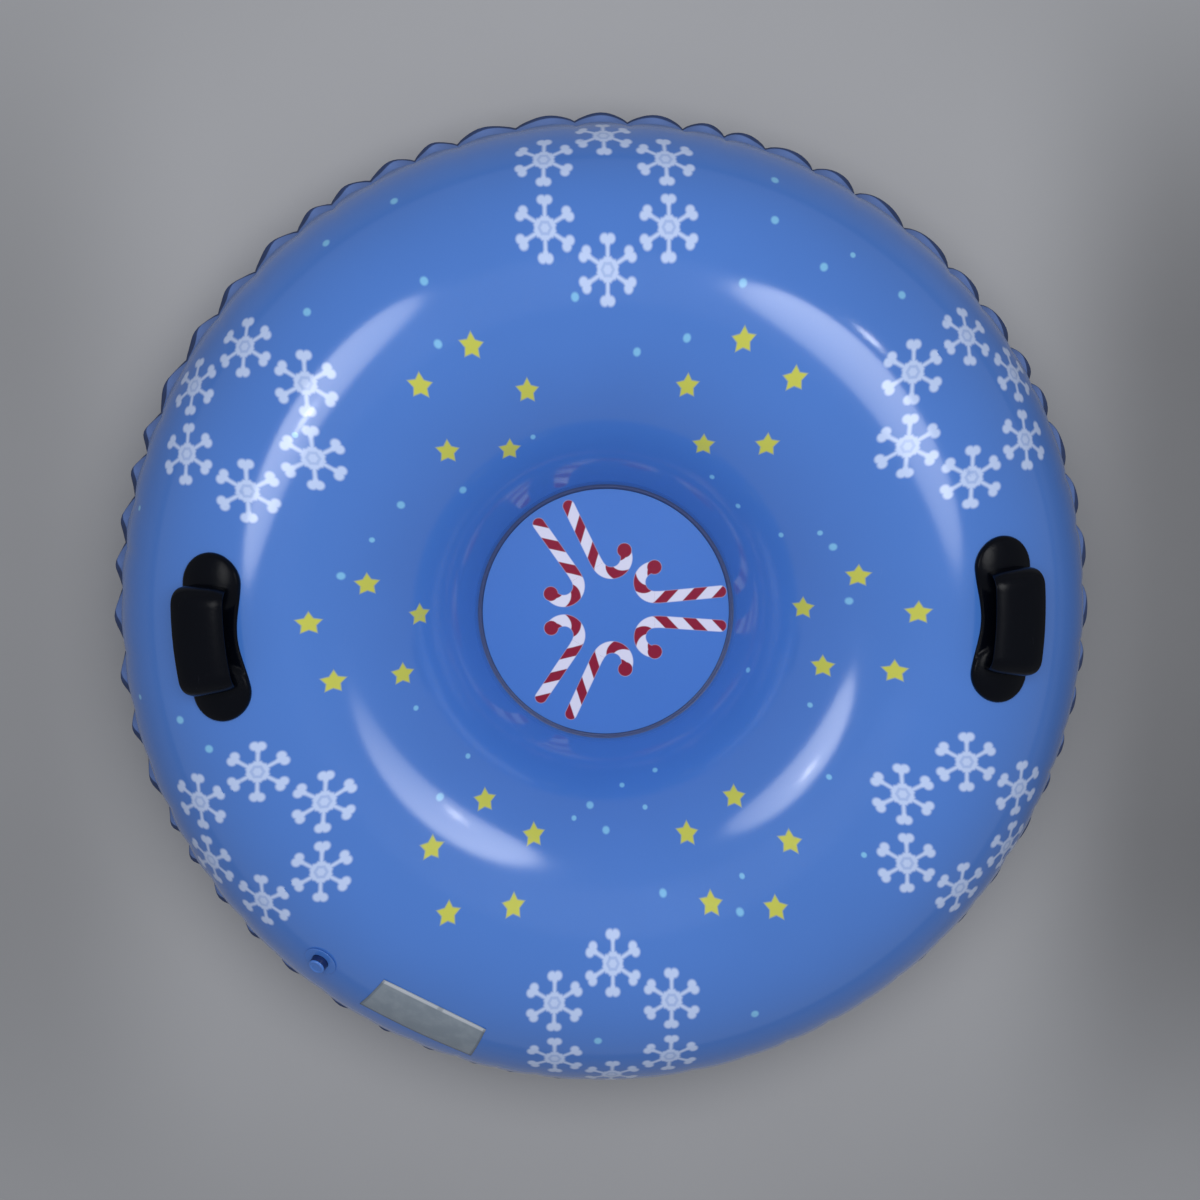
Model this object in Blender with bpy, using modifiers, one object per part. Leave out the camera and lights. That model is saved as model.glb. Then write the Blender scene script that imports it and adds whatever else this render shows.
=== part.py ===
"""Snow tube: a ring-shaped inflated sled of welded sheet, with a taut floor disc,
two moulded carry handles, a push-in inflation valve and a bare label patch.

Metres, +Z up. The origin is on the ground under the middle of the tube, and
the handles lie towards +X and -X.
"""

import math

import bmesh
import bpy
from mathutils import Matrix, Vector

# Inflated body
RIM_RADIUS = 0.475
RING_RADIUS = 0.128
SWELL_POWER = 1.6
SHEET_THICKNESS = 0.0005
FLOOR_THICKNESS = 0.0008
RIM_LIP_WIDTH = 0.011
RING_LIP_WIDTH = 0.005
FLOOR_EDGE_THINNING = 0.0001
FREE_FACE_MARGIN = 0.001
REST_FLAT_DEPTH = 0.0008
REST_FLAT_SHARE = 0.95

# Puckers that gather the rim weld, and how unevenly they fall round the rim
PUCKER_COUNT = 60
PUCKER_DEPTH = 0.004
PUCKER_WAVE = 0.0025
PUCKER_REACH = 0.060
PITCH_HARMONIC_SHARES = ((8, 0.0030), (22, 0.0009))
DEPTH_HARMONIC_SHARE = (14, 0.25)

# Handles, each on a dog-bone pad that follows the sheet
HANDLE_PAST_CROWN = 0.0409
HANDLE_AZIMUTHS = {"left": math.radians(180.9), "right": math.radians(1.2)}
HANDLE_SKEWS = {"left": math.radians(3.5), "right": math.radians(-2.0)}
PAD_LOBE_SPAN = 0.100
PAD_LOBE_RADIUS = 0.028
PAD_WAIST_WIDTH = 0.047
PAD_THICKNESS = 0.0025
LOBE_HEIGHT = 0.009
GRIP_LENGTH = 0.096
GRIP_FOOT_SPAN = 0.086
GRIP_HEIGHT = 0.035
GRIP_THICKNESS = 0.007
GRIP_WIDTH = 0.042
GRIP_FOOT_WIDTH = 0.036
GRIP_CORNER_RADIUS = 0.013
GRIP_EDGE_THINNING_SHARE = 0.55

# Valve, standing proud of the sheet with its plug in
VALVE_PAST_CROWN = 0.1064
VALVE_AZIMUTH = math.radians(-130.8)
VALVE_HOLE_TURN = math.radians(10)
STEM_RADIUS = 0.0082
STEM_BORE_RADIUS = 0.0045
STEM_PROUD = 0.0070
STEM_LENGTH = 0.0240
COLLAR_WALL = 0.0012
COLLAR_DEPTH = 0.0080
VALVE_FLANGE_RADIUS = 0.0165
VALVE_FLANGE_THICKNESS = 0.0008
PLUG_CAP_THICKNESS = 0.0022
PLUG_PIN_LENGTH = 0.0100
PLUG_LEAD = 0.0012
FLAP_RADIUS = 0.0064
FLAP_THICKNESS = 0.0010

# Bare label patch
LABEL_PAST_CROWN = 0.1009
LABEL_AZIMUTH = math.radians(-115.2)
LABEL_SKEW = math.radians(-3.5)
LABEL_LENGTH = 0.114
LABEL_WIDTH = 0.055
LABEL_THICKNESS = 0.0004

# Fits
WELD_GAP = 0.0003
RUN_GAP = 0.0003
CUT_OVERRUN = 0.004
MERGE_DISTANCE = 0.00005

# Mesh counts
SECTION_STEPS = 600
COLUMNS_PER_PUCKER = 3
TOP_ROW_PITCH = 0.036
BOTTOM_ROW_PITCH = 0.042
RIM_ROW_SHARES = (0.58,)
BISECTIONS = 48
ROUND_SEGMENTS = 32
PAD_GRID = (22, 8)
GRIP_GRID = (24, 4)
LABEL_GRID = (8, 4)
PAD_END_ANGLE = math.radians(80)
SMOOTH_ANGLE = math.radians(45)


def clear_scene():
    """Remove every object, so the model starts from an empty scene."""
    for old in list(bpy.data.objects):
        bpy.data.objects.remove(old, do_unlink=True)


def new_collection(name):
    collection = bpy.data.collections.new(name)
    bpy.context.scene.collection.children.link(collection)
    return collection


def new_material(name, colour, roughness, metallic=0.0):
    material = bpy.data.materials.new(name)
    material.use_nodes = True
    shader = material.node_tree.nodes["Principled BSDF"]
    shader.inputs["Base Color"].default_value = (*colour, 1.0)
    shader.inputs["Roughness"].default_value = roughness
    shader.inputs["Metallic"].default_value = metallic
    return material


def new_object(name, bm, collection, material=None, smooth_angle=None):
    """Turn a bmesh into a named object, and free the bmesh."""
    mesh = bpy.data.meshes.new(name)
    bm.to_mesh(mesh)
    bm.free()
    if smooth_angle is not None:
        mesh.shade_smooth()
        mesh.set_sharp_from_angle(angle=smooth_angle)
    item = bpy.data.objects.new(name, mesh)
    collection.objects.link(item)
    if material is not None:
        mesh.materials.append(material)
    return item


def mark_cutter(item):
    item.hide_render = True
    item.display_type = "WIRE"
    return item


def cut(item, cutter):
    boolean = item.modifiers.new("cut_" + cutter.name, "BOOLEAN")
    boolean.operation = "DIFFERENCE"
    boolean.solver = "EXACT"
    boolean.object = cutter


def swell_curve(crown_radius):
    """The inflated sheet's section from the ring weld out to the rim weld.

    The sheet's pull runs only along the section, so the sine of its lean grows
    with a power of the radius, from the ring through level at the crown to
    upright at the rim. Each entry is (arc length, radius, height, lean).
    """
    power = SWELL_POWER
    span = RIM_RADIUS**power - crown_radius**power
    first = -math.asin((crown_radius**power - RING_RADIUS**power) / span)
    step = (math.pi / 2 - first) / SECTION_STEPS
    curve = []
    arc = 0.0
    height = 0.0
    for i in range(SECTION_STEPS + 1):
        lean = first + step * i
        radius = (crown_radius**power + span * math.sin(lean)) ** (1 / power)
        curve.append((arc, radius, height, lean))
        middle = lean + step / 2
        mid_radius = (crown_radius**power + span * math.sin(middle)) ** (1 / power)
        run = step * span / (power * mid_radius ** (power - 1))
        arc += run
        height -= math.sin(middle) * run
    return curve


def closed_curve():
    """Find the crown radius for which the sheet comes back to the weld plane."""
    power = SWELL_POWER
    high = ((RIM_RADIUS**power + RING_RADIUS**power) / 2) ** (1 / power)
    low = (RING_RADIUS + high) / 2
    for _ in range(BISECTIONS):
        middle = (low + high) / 2
        if swell_curve(middle)[-1][2] > 0:
            high = middle
        else:
            low = middle
    return low, swell_curve(low)


CROWN_RADIUS, SECTION = closed_curve()
SHEET_ARC = SECTION[-1][0]
CROWN_ARC = next(entry[0] for entry in SECTION if entry[3] >= 0)
HANDLE_ARC = CROWN_ARC + HANDLE_PAST_CROWN
VALVE_ARC = CROWN_ARC + VALVE_PAST_CROWN
LABEL_ARC = CROWN_ARC + LABEL_PAST_CROWN
RING_LEVEL = FLOOR_THICKNESS / 2 + WELD_GAP
RIM_LEVEL = WELD_GAP / 2


def section_at(arc):
    """Radius, height above the weld plane and lean of the sheet at an arc length."""
    if arc <= 0:
        return RING_RADIUS + arc, RING_LEVEL, 0.0
    if arc >= SHEET_ARC:
        return RIM_RADIUS + arc - SHEET_ARC, RIM_LEVEL, 0.0
    low, high = 0, len(SECTION) - 1
    while high - low > 1:
        middle = (low + high) // 2
        if SECTION[middle][0] > arc:
            high = middle
        else:
            low = middle
    share = (arc - SECTION[low][0]) / (SECTION[high][0] - SECTION[low][0])
    radius, height, lean = (
        SECTION[low][k] + share * (SECTION[high][k] - SECTION[low][k]) for k in (1, 2, 3)
    )
    level = RING_LEVEL + (RIM_LEVEL - RING_LEVEL) * arc / SHEET_ARC
    return radius, height + level, lean


CROWN_LEVEL = section_at(CROWN_ARC)[1]
WELD_HEIGHT = CROWN_LEVEL - REST_FLAT_DEPTH + SHEET_THICKNESS
CROWN_BEND_RADIUS = (RIM_RADIUS**SWELL_POWER - CROWN_RADIUS**SWELL_POWER) / (
    SWELL_POWER * CROWN_RADIUS ** (SWELL_POWER - 1)
)
REST_FLAT_REACH = REST_FLAT_SHARE * math.sqrt(2 * REST_FLAT_DEPTH * CROWN_BEND_RADIUS)


def skin_point(azimuth, arc, lift=0.0):
    """A point on the upper sheet's outer face, raised by lift along its normal."""
    radius, height, lean = section_at(arc)
    out = SHEET_THICKNESS + lift
    radius += out * math.sin(lean)
    height += out * math.cos(lean)
    return Vector(
        (radius * math.cos(azimuth), radius * math.sin(azimuth), WELD_HEIGHT + height)
    )


def skin_frame(azimuth, arc):
    """A frame on the upper sheet: X round the tube, Y down the outer slope, Z outward."""
    lean = section_at(arc)[2]
    across = Vector((math.sin(azimuth), -math.cos(azimuth), 0))
    outward = Vector((math.cos(azimuth), math.sin(azimuth), 0))
    down = outward * math.cos(lean) - Vector((0, 0, math.sin(lean)))
    out = across.cross(down)
    frame = Matrix((across, down, out)).transposed().to_4x4()
    frame.translation = skin_point(azimuth, arc)
    return frame


def drape(x, y, height, azimuth, arc, skew):
    """Lay a flat drawing's point on the sheet: x round the tube, y down the slope."""
    along = x * math.cos(skew) - y * math.sin(skew)
    down = x * math.sin(skew) + y * math.cos(skew)
    radius = section_at(arc)[0]
    return skin_point(azimuth - along / radius, arc + down, height)


def smooth_step(value):
    value = min(max(value, 0.0), 1.0)
    return value * value * (3 - 2 * value)


def pucker_azimuth(share):
    """Azimuth of a share of the way round, with the puckers' uneven pitch.

    The valve lies within the last pucker.
    """
    turn = share + 1 / (2 * PUCKER_COUNT)
    for waves, size_share in PITCH_HARMONIC_SHARES:
        turn += size_share * math.sin(2 * math.pi * waves * share)
    return VALVE_AZIMUTH + 2 * math.pi * turn


def gathered_point(share, arc, side):
    """A point of the upper (side 1) or lower (side -1) sheet's inner face."""
    radius, height, _ = section_at(arc)
    phase = share * PUCKER_COUNT
    waves, size_share = DEPTH_HARMONIC_SHARE
    unevenness = 1 + size_share * math.sin(2 * math.pi * waves * share)
    fade = smooth_step((arc - SHEET_ARC + PUCKER_REACH) / PUCKER_REACH) ** 2
    pinch = 1 - abs(math.sin(math.pi * phase))
    radius -= PUCKER_DEPTH * unevenness * pinch * fade
    wave = -PUCKER_WAVE * unevenness * math.cos(2 * math.pi * phase) * fade
    if side < 0:
        height = min(height, CROWN_LEVEL - REST_FLAT_DEPTH)
    azimuth = pucker_azimuth(share)
    return Vector(
        (
            radius * math.cos(azimuth),
            radius * math.sin(azimuth),
            WELD_HEIGHT + side * height + wave,
        )
    )


def spaced(low, high, pitch):
    """Even steps from low to high, none longer than the pitch, or low alone."""
    steps = max(math.ceil((high - low) / pitch), 0)
    return [low + (high - low) * i / max(steps, 1) for i in range(steps + 1)]


def sheet_rows(side):
    """Arc lengths of the rows of a sheet: its body's rows, and those of its rim.

    The valve lies between two rows of the upper sheet.
    """
    gathered_from = SHEET_ARC - PUCKER_REACH
    if side > 0:
        rows = spaced(0.0, VALVE_ARC - TOP_ROW_PITCH / 2, TOP_ROW_PITCH)
        rows += spaced(VALVE_ARC + TOP_ROW_PITCH / 2, gathered_from, TOP_ROW_PITCH)
    else:
        rows = spaced(0.0, CROWN_ARC - REST_FLAT_REACH, BOTTOM_ROW_PITCH)
        rows += [CROWN_ARC]
        rows += spaced(CROWN_ARC + REST_FLAT_REACH, gathered_from, BOTTOM_ROW_PITCH)
    rim_rows = [gathered_from + PUCKER_REACH * share for share in RIM_ROW_SHARES]
    rim_rows = [row for row in rim_rows if row > rows[-1]]
    rim_rows += [SHEET_ARC, SHEET_ARC + RIM_LIP_WIDTH]
    return [-RING_LIP_WIDTH] + rows, rim_rows


def gathered_sheet(name, side, collection, material):
    """One welded sheet: a flat strip wrapped on to the inflated form, then thickened.

    The strip has one column to a pucker, and finer columns in its rim rows. The rim
    rows' faces aren't flat, so they are split first, alike for both of its walls.
    """
    body_rows, rim_rows = sheet_rows(side)
    arcs = body_rows + rim_rows
    bm = bmesh.new()
    bmesh.ops.create_grid(bm, x_segments=PUCKER_COUNT, y_segments=len(arcs) - 1, size=1)
    for vert in bm.verts:
        vert.co.x = (vert.co.x + 1) / 2
        vert.co.y = round((vert.co.y + 1) / 2 * (len(arcs) - 1))
    fine_row = len(body_rows)
    rim_edges = [
        edge
        for edge in bm.edges
        if edge.verts[0].co.y == edge.verts[1].co.y and edge.verts[0].co.y >= fine_row
    ]
    bmesh.ops.subdivide_edges(bm, edges=rim_edges, cuts=COLUMNS_PER_PUCKER - 1)
    rim_faces = [
        face for face in bm.faces if max(round(vert.co.y) for vert in face.verts) >= fine_row
    ]
    for vert in bm.verts:
        vert.co = gathered_point(vert.co.x, arcs[round(vert.co.y)], side)
    bmesh.ops.triangulate(bm, faces=rim_faces)
    bmesh.ops.remove_doubles(bm, verts=bm.verts, dist=MERGE_DISTANCE)
    if side > 0:
        bmesh.ops.reverse_faces(bm, faces=bm.faces)
    sheet = new_object(name, bm, collection, material, SMOOTH_ANGLE)
    solidify = sheet.modifiers.new("thickness", "SOLIDIFY")
    solidify.thickness = SHEET_THICKNESS
    solidify.offset = 1
    solidify.use_even_offset = True
    return sheet


def floor_disc(collection, material):
    """The taut disc held in the ring weld between the two sheets.

    It thins a little into the weld, so its free faces end just inside the sheets' lips.
    """
    bm = bmesh.new()
    bmesh.ops.create_cone(
        bm,
        cap_ends=True,
        segments=PUCKER_COUNT,
        radius1=RING_RADIUS,
        radius2=RING_RADIUS,
        depth=FLOOR_THICKNESS - 2 * FLOOR_EDGE_THINNING,
    )
    caps = [face for face in bm.faces if len(face.verts) == PUCKER_COUNT]
    bmesh.ops.inset_individual(
        bm,
        faces=caps,
        thickness=RING_LIP_WIDTH + FREE_FACE_MARGIN,
        depth=FLOOR_EDGE_THINNING,
    )
    disc = new_object("floor_disc", bm, collection, material)
    disc.location.z = WELD_HEIGHT


def shaped_block(grid, shape):
    """A closed block whose grid of points is placed by shape(a, b, top).

    a and b run from -1 to 1 along and across, and top is False underneath.
    """
    bm = bmesh.new()
    bmesh.ops.create_grid(bm, x_segments=grid[0], y_segments=grid[1], size=1)
    under = {vert: (vert.co.x, vert.co.y, False) for vert in bm.verts}
    made = bmesh.ops.extrude_face_region(bm, geom=bm.faces[:], use_keep_orig=True)
    places = dict(under)
    for item in made["geom"]:
        if isinstance(item, bmesh.types.BMVert):
            places[item] = (item.co.x, item.co.y, True)
    for vert, place in places.items():
        vert.co = shape(*place)
    bmesh.ops.recalc_face_normals(bm, faces=bm.faces)
    return bm


def anchored_object(name, bm, anchor, collection, material=None):
    """An object whose origin is its anchor, from points in world space."""
    bmesh.ops.translate(bm, verts=bm.verts, vec=-anchor)
    item = new_object(name, bm, collection, material, SMOOTH_ANGLE)
    item.location = anchor
    return item


def pad_half_width(x):
    """Half the dog-bone pad's width at x along it: round lobes and a drawn-in waist."""
    lobe_middle = PAD_LOBE_SPAN / 2
    x = abs(x)
    if x >= lobe_middle:
        return math.sqrt(max(PAD_LOBE_RADIUS**2 - (x - lobe_middle) ** 2, 0.0))
    drawn_in = (PAD_LOBE_RADIUS - PAD_WAIST_WIDTH / 2) * (1 + math.cos(math.pi * x / lobe_middle)) / 2
    return PAD_LOBE_RADIUS - drawn_in


def handle_pad(side, collection, material):
    """The pad that is welded to the sheet, with a domed lobe at each end."""
    azimuth, skew = HANDLE_AZIMUTHS[side], HANDLE_SKEWS[side]
    end = PAD_LOBE_SPAN / 2 + PAD_LOBE_RADIUS

    def shape(a, b, top):
        x = end * math.sin(a * PAD_END_ANGLE)
        y = pad_half_width(x) * b
        height = WELD_GAP
        if top:
            reach = math.hypot(abs(x) - PAD_LOBE_SPAN / 2, y) / PAD_LOBE_RADIUS
            dome = math.sqrt(max(1 - reach**2, 0.0))
            height += PAD_THICKNESS + (LOBE_HEIGHT - PAD_THICKNESS) * dome
        return drape(x, y, height, azimuth, HANDLE_ARC, skew)

    bm = shaped_block(PAD_GRID, shape)
    anchor = skin_point(azimuth, HANDLE_ARC)
    return anchored_object("handle_pad_" + side, bm, anchor, collection, material)


def grip_path(share):
    """Point and tilt on the grip's middle line, from one foot (-1) to the other (1)."""
    top = GRIP_HEIGHT - GRIP_THICKNESS / 2
    foot = WELD_GAP + PAD_THICKNESS + RUN_GAP
    splay = math.atan2((GRIP_LENGTH - GRIP_FOOT_SPAN) / 2 - GRIP_THICKNESS / 2, top - foot)
    turn = math.pi / 2 - splay
    bend = GRIP_CORNER_RADIUS
    corner_x = GRIP_LENGTH / 2 - GRIP_THICKNESS / 2
    tangent = bend * math.tan(turn / 2)
    leg_length = (top - foot) / math.cos(splay) - tangent
    flat_length = corner_x - tangent
    arc_length = bend * turn
    total = flat_length + arc_length + leg_length
    run = abs(share) * total
    sign = math.copysign(1, share)
    if run <= flat_length:
        return sign * run, top, 0.0
    if run <= flat_length + arc_length:
        angle = (run - flat_length) / bend
        x = flat_length + bend * math.sin(angle)
        return sign * x, top - bend * (1 - math.cos(angle)), sign * angle
    down = run - flat_length - arc_length
    x = flat_length + bend * math.sin(turn) + down * math.cos(turn)
    height = top - bend * (1 - math.cos(turn)) - down * math.sin(turn)
    return sign * x, height, sign * turn


def grip_shape(side, grow):
    """Placing function of the grip strap, made larger all round by grow."""
    azimuth, skew = HANDLE_AZIMUTHS[side], HANDLE_SKEWS[side]

    def shape(a, b, top):
        x, height, tilt = grip_path(a)
        narrow = smooth_step((GRIP_HEIGHT - height) / GRIP_HEIGHT)
        half_width = (GRIP_WIDTH + (GRIP_FOOT_WIDTH - GRIP_WIDTH) * narrow) / 2 + grow
        edge = 1 - GRIP_EDGE_THINNING_SHARE * b**4
        off = (GRIP_THICKNESS / 2 + grow) * edge * (1 if top else -1)
        x += off * math.sin(tilt)
        height += off * math.cos(tilt)
        if abs(a) == 1 and grow:
            height -= grow
        return drape(x, half_width * b, height, azimuth, HANDLE_ARC, skew)

    return shape


def handle_grip(side, collection, material):
    """The strap that the hand holds, its feet in the pad's lobes."""
    bm = shaped_block(GRIP_GRID, grip_shape(side, 0.0))
    anchor = skin_point(HANDLE_AZIMUTHS[side], HANDLE_ARC, GRIP_HEIGHT)
    return anchored_object("handle_grip_" + side, bm, anchor, collection, material)


def grip_pocket(side, collection):
    """Cutter for the pockets in the pad's lobes that take the grip's feet."""
    bm = shaped_block(GRIP_GRID, grip_shape(side, RUN_GAP))
    anchor = skin_point(HANDLE_AZIMUTHS[side], HANDLE_ARC, GRIP_HEIGHT)
    return mark_cutter(anchored_object("pocket_" + side, bm, anchor, collection))


def handle(side, collection, cutters, material):
    pad = handle_pad(side, collection, material)
    handle_grip(side, collection, material)
    cut(pad, grip_pocket(side, cutters))


def turned(name, profile, collection, material, parent):
    """A closed profile of (radius, height) points, turned about the parent's Z."""
    bm = bmesh.new()
    verts = [bm.verts.new((radius, 0, height)) for radius, height in profile]
    for i in range(len(verts)):
        after = verts[(i + 1) % len(verts)]
        if verts[i].co.x > 0 or after.co.x > 0:
            bm.edges.new((verts[i], after))
    item = new_object(name, bm, collection, material)
    screw = item.modifiers.new("turn", "SCREW")
    screw.axis = "Z"
    screw.steps = ROUND_SEGMENTS
    screw.render_steps = ROUND_SEGMENTS
    screw.use_merge_vertices = True
    screw.merge_threshold = MERGE_DISTANCE
    screw.use_smooth_shade = False
    item.parent = parent
    return item


def valve_axis(collection):
    """The empty on the valve's axis, on the sheet's outer face, Z outward."""
    axis = bpy.data.objects.new("valve_axis", None)
    axis.matrix_world = skin_frame(VALVE_AZIMUTH, VALVE_ARC)
    collection.objects.link(axis)
    return axis


def valve_flange(collection, material, axis):
    """Flange welded over the hole in the sheet, with the collar the stem slides in."""
    bore = STEM_RADIUS + RUN_GAP
    top = WELD_GAP + VALVE_FLANGE_THICKNESS
    profile = [
        (bore, top),
        (VALVE_FLANGE_RADIUS, top),
        (VALVE_FLANGE_RADIUS, WELD_GAP),
        (bore + COLLAR_WALL, WELD_GAP),
        (bore + COLLAR_WALL, -COLLAR_DEPTH),
        (bore, -COLLAR_DEPTH),
    ]
    return turned("valve_flange", profile, collection, material, axis)


def valve_hole(collection, axis):
    """Cutter for the hole in the upper sheet that the collar passes through.

    It is turned so that its corners keep off the sheet's rows and columns.
    """
    radius = STEM_RADIUS + RUN_GAP + COLLAR_WALL + RUN_GAP
    profile = [(0, CUT_OVERRUN), (radius, CUT_OVERRUN), (radius, -CUT_OVERRUN), (0, -CUT_OVERRUN)]
    cutter = turned("valve_hole", profile, collection, None, axis)
    cutter.rotation_euler.z = VALVE_HOLE_TURN
    return mark_cutter(cutter)


def valve_stem(collection, material, axis):
    """The tube that is blown into, which stands proud and can be pushed in."""
    inner_end = STEM_PROUD - STEM_LENGTH
    profile = [
        (STEM_BORE_RADIUS, STEM_PROUD),
        (STEM_RADIUS, STEM_PROUD),
        (STEM_RADIUS, inner_end),
        (STEM_BORE_RADIUS, inner_end),
    ]
    return turned("valve_stem", profile, collection, material, axis)


def valve_plug(collection, material, axis):
    """The plug: a cap on the stem's mouth and a pin that seals its bore."""
    seat = STEM_PROUD + RUN_GAP
    top = seat + PLUG_CAP_THICKNESS
    pin_radius = STEM_BORE_RADIUS - RUN_GAP
    pin_end = seat - PLUG_PIN_LENGTH
    profile = [
        (0, top),
        (STEM_RADIUS - PLUG_LEAD, top),
        (STEM_RADIUS, top - PLUG_LEAD),
        (STEM_RADIUS, seat),
        (pin_radius, seat),
        (pin_radius, pin_end + PLUG_LEAD),
        (pin_radius - PLUG_LEAD, pin_end),
        (0, pin_end),
    ]
    return turned("valve_plug", profile, collection, material, axis)


def valve_flap(collection, material, axis):
    """The non-return flap under the stem, hinged at its edge nearest the rim."""
    hinge = bpy.data.objects.new("flap_hinge", None)
    top = STEM_PROUD - STEM_LENGTH - RUN_GAP
    hinge.location = (0, FLAP_RADIUS, top)
    hinge.parent = axis
    collection.objects.link(hinge)
    profile = [
        (0, 0),
        (FLAP_RADIUS, 0),
        (FLAP_RADIUS, -FLAP_THICKNESS),
        (0, -FLAP_THICKNESS),
    ]
    flap = turned("valve_flap", profile, collection, material, hinge)
    flap.location = (0, -FLAP_RADIUS, 0)
    return flap


def label_patch(collection, material):
    """A thin bare patch welded to the outer slope, its long edges straight from above."""
    radius, _, lean = section_at(LABEL_ARC)

    def shape(a, b, top):
        height = WELD_GAP + (LABEL_THICKNESS if top else 0.0)
        x, y = a * LABEL_LENGTH / 2, b * LABEL_WIDTH / 2
        y += x * x / (2 * radius * math.cos(lean))
        return drape(x, y, height, LABEL_AZIMUTH, LABEL_ARC, LABEL_SKEW)

    bm = shaped_block(LABEL_GRID, shape)
    anchor = skin_point(LABEL_AZIMUTH, LABEL_ARC)
    return anchored_object("label_patch", bm, anchor, collection, material)


def build():
    clear_scene()
    parts = new_collection("snow_tube")
    cutters = new_collection("cutters")
    printed = new_material("printed_sheet", (0.079, 0.195, 0.604), 0.32)
    plain = new_material("plain_sheet", (0.060, 0.150, 0.480), 0.35)
    black = new_material("handle_black", (0.010, 0.011, 0.014), 0.42)
    navy = new_material("valve_navy", (0.014, 0.038, 0.150), 0.40)
    silver = new_material("label_grey", (0.180, 0.200, 0.230), 0.45)
    top = gathered_sheet("top_skin", 1, parts, printed)
    gathered_sheet("bottom_skin", -1, parts, plain)
    floor_disc(parts, printed)
    for side in ("left", "right"):
        handle(side, parts, cutters, black)
    axis = valve_axis(parts)
    cut(top, valve_hole(cutters, axis))
    valve_flange(parts, printed, axis)
    valve_stem(parts, navy, axis)
    valve_plug(parts, printed, axis)
    valve_flap(parts, navy, axis)
    label_patch(parts, silver)


build()
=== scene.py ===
# %% [markdown]
# # Dressing a snow tube
# A snow tube is two rings of soft vinyl, welded together at the rim and at the hole, and
# blown up. A taut disc closes the hole, so the rider sits in a well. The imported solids
# give every place and size, and this script draws finer pieces round them. It could have
# measured the solids' meshes, but the same few rules of shape give smoother pieces.

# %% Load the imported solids
from functools import partialmethod
from math import asin, atan2, copysign, cos, pi, radians, sin, tan, tau

import bmesh
import bpy
import numpy as np
from mathutils import Matrix, Vector


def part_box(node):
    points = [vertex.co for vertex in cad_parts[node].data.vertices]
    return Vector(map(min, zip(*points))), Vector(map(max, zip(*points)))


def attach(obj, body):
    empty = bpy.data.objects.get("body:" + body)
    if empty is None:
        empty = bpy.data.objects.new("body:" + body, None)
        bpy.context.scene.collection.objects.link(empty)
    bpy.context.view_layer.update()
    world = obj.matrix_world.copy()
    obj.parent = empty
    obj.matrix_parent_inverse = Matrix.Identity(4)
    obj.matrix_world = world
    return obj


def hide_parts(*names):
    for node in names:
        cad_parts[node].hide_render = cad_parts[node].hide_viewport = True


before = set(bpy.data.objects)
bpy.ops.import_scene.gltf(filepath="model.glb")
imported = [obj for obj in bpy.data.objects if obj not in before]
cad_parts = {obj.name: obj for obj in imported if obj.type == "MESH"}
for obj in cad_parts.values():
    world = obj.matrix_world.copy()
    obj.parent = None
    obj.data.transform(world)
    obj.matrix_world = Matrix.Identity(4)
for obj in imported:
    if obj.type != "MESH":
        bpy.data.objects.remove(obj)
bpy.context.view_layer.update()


def in_scene(name, data):
    """A new object that shows a mesh, lamp or camera in the scene."""
    item = bpy.data.objects.new(name, data)
    bpy.context.scene.collection.objects.link(item)
    return item


# %% [markdown]
# ## Sizes
# These are the driving sizes of the solids, so the finer pieces land on them. The floor
# disc's own box gives the hole's radius and the height of the weld plane.

# %% Sizes of the inflated body
RIM_RADIUS = 0.475
SWELL_POWER = 1.6
SHEET_THICKNESS = 0.0005
RIM_LIP_WIDTH = 0.011
RING_LIP_WIDTH = 0.005
REST_FLAT_DEPTH = 0.0008
WELD_GAP = 0.0003
SECTION_STEPS = 600
HALVINGS = 48

disc_low, disc_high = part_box("floor_disc")
RING_RADIUS = disc_high.x
WELD_HEIGHT = (disc_low.z + disc_high.z) / 2
FLOOR_THICKNESS = disc_high.z - disc_low.z
RING_LEVEL = FLOOR_THICKNESS / 2 + WELD_GAP
RIM_LEVEL = WELD_GAP / 2
print("hole radius", round(RING_RADIUS, 4), "weld height", round(WELD_HEIGHT, 4))

# %% [markdown]
# ## The section of the blown-up sheet
# Each sheet was cut flat. Blown up, it gathers round the tube, so nearly all its pull
# runs along its section, and it takes the curve that a flat round balloon takes: the
# sine of its lean grows with a power of the radius. A cloth simulation would come to a
# like shape, but it would drift off the solids, and both sheets must keep one weld line.
# So the curve is worked out in closed form, and the puckers are added to it.

# %% The section's curve
def swell_curve(crown_radius):
    """Arc length, radius, height and lean from the ring weld out to the rim weld."""
    power = SWELL_POWER
    span = RIM_RADIUS**power - crown_radius**power
    first = -asin((crown_radius**power - RING_RADIUS**power) / span)
    step = (pi / 2 - first) / SECTION_STEPS
    lean = first + step * np.arange(SECTION_STEPS + 1)
    middle = lean[:-1] + step / 2
    radius = (crown_radius**power + span * np.sin(lean)) ** (1 / power)
    mid_radius = (crown_radius**power + span * np.sin(middle)) ** (1 / power)
    run = step * span / (power * mid_radius ** (power - 1))
    arc = np.concatenate(([0.0], np.cumsum(run)))
    height = np.concatenate(([0.0], np.cumsum(-np.sin(middle) * run)))
    return arc, radius, height, lean


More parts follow.
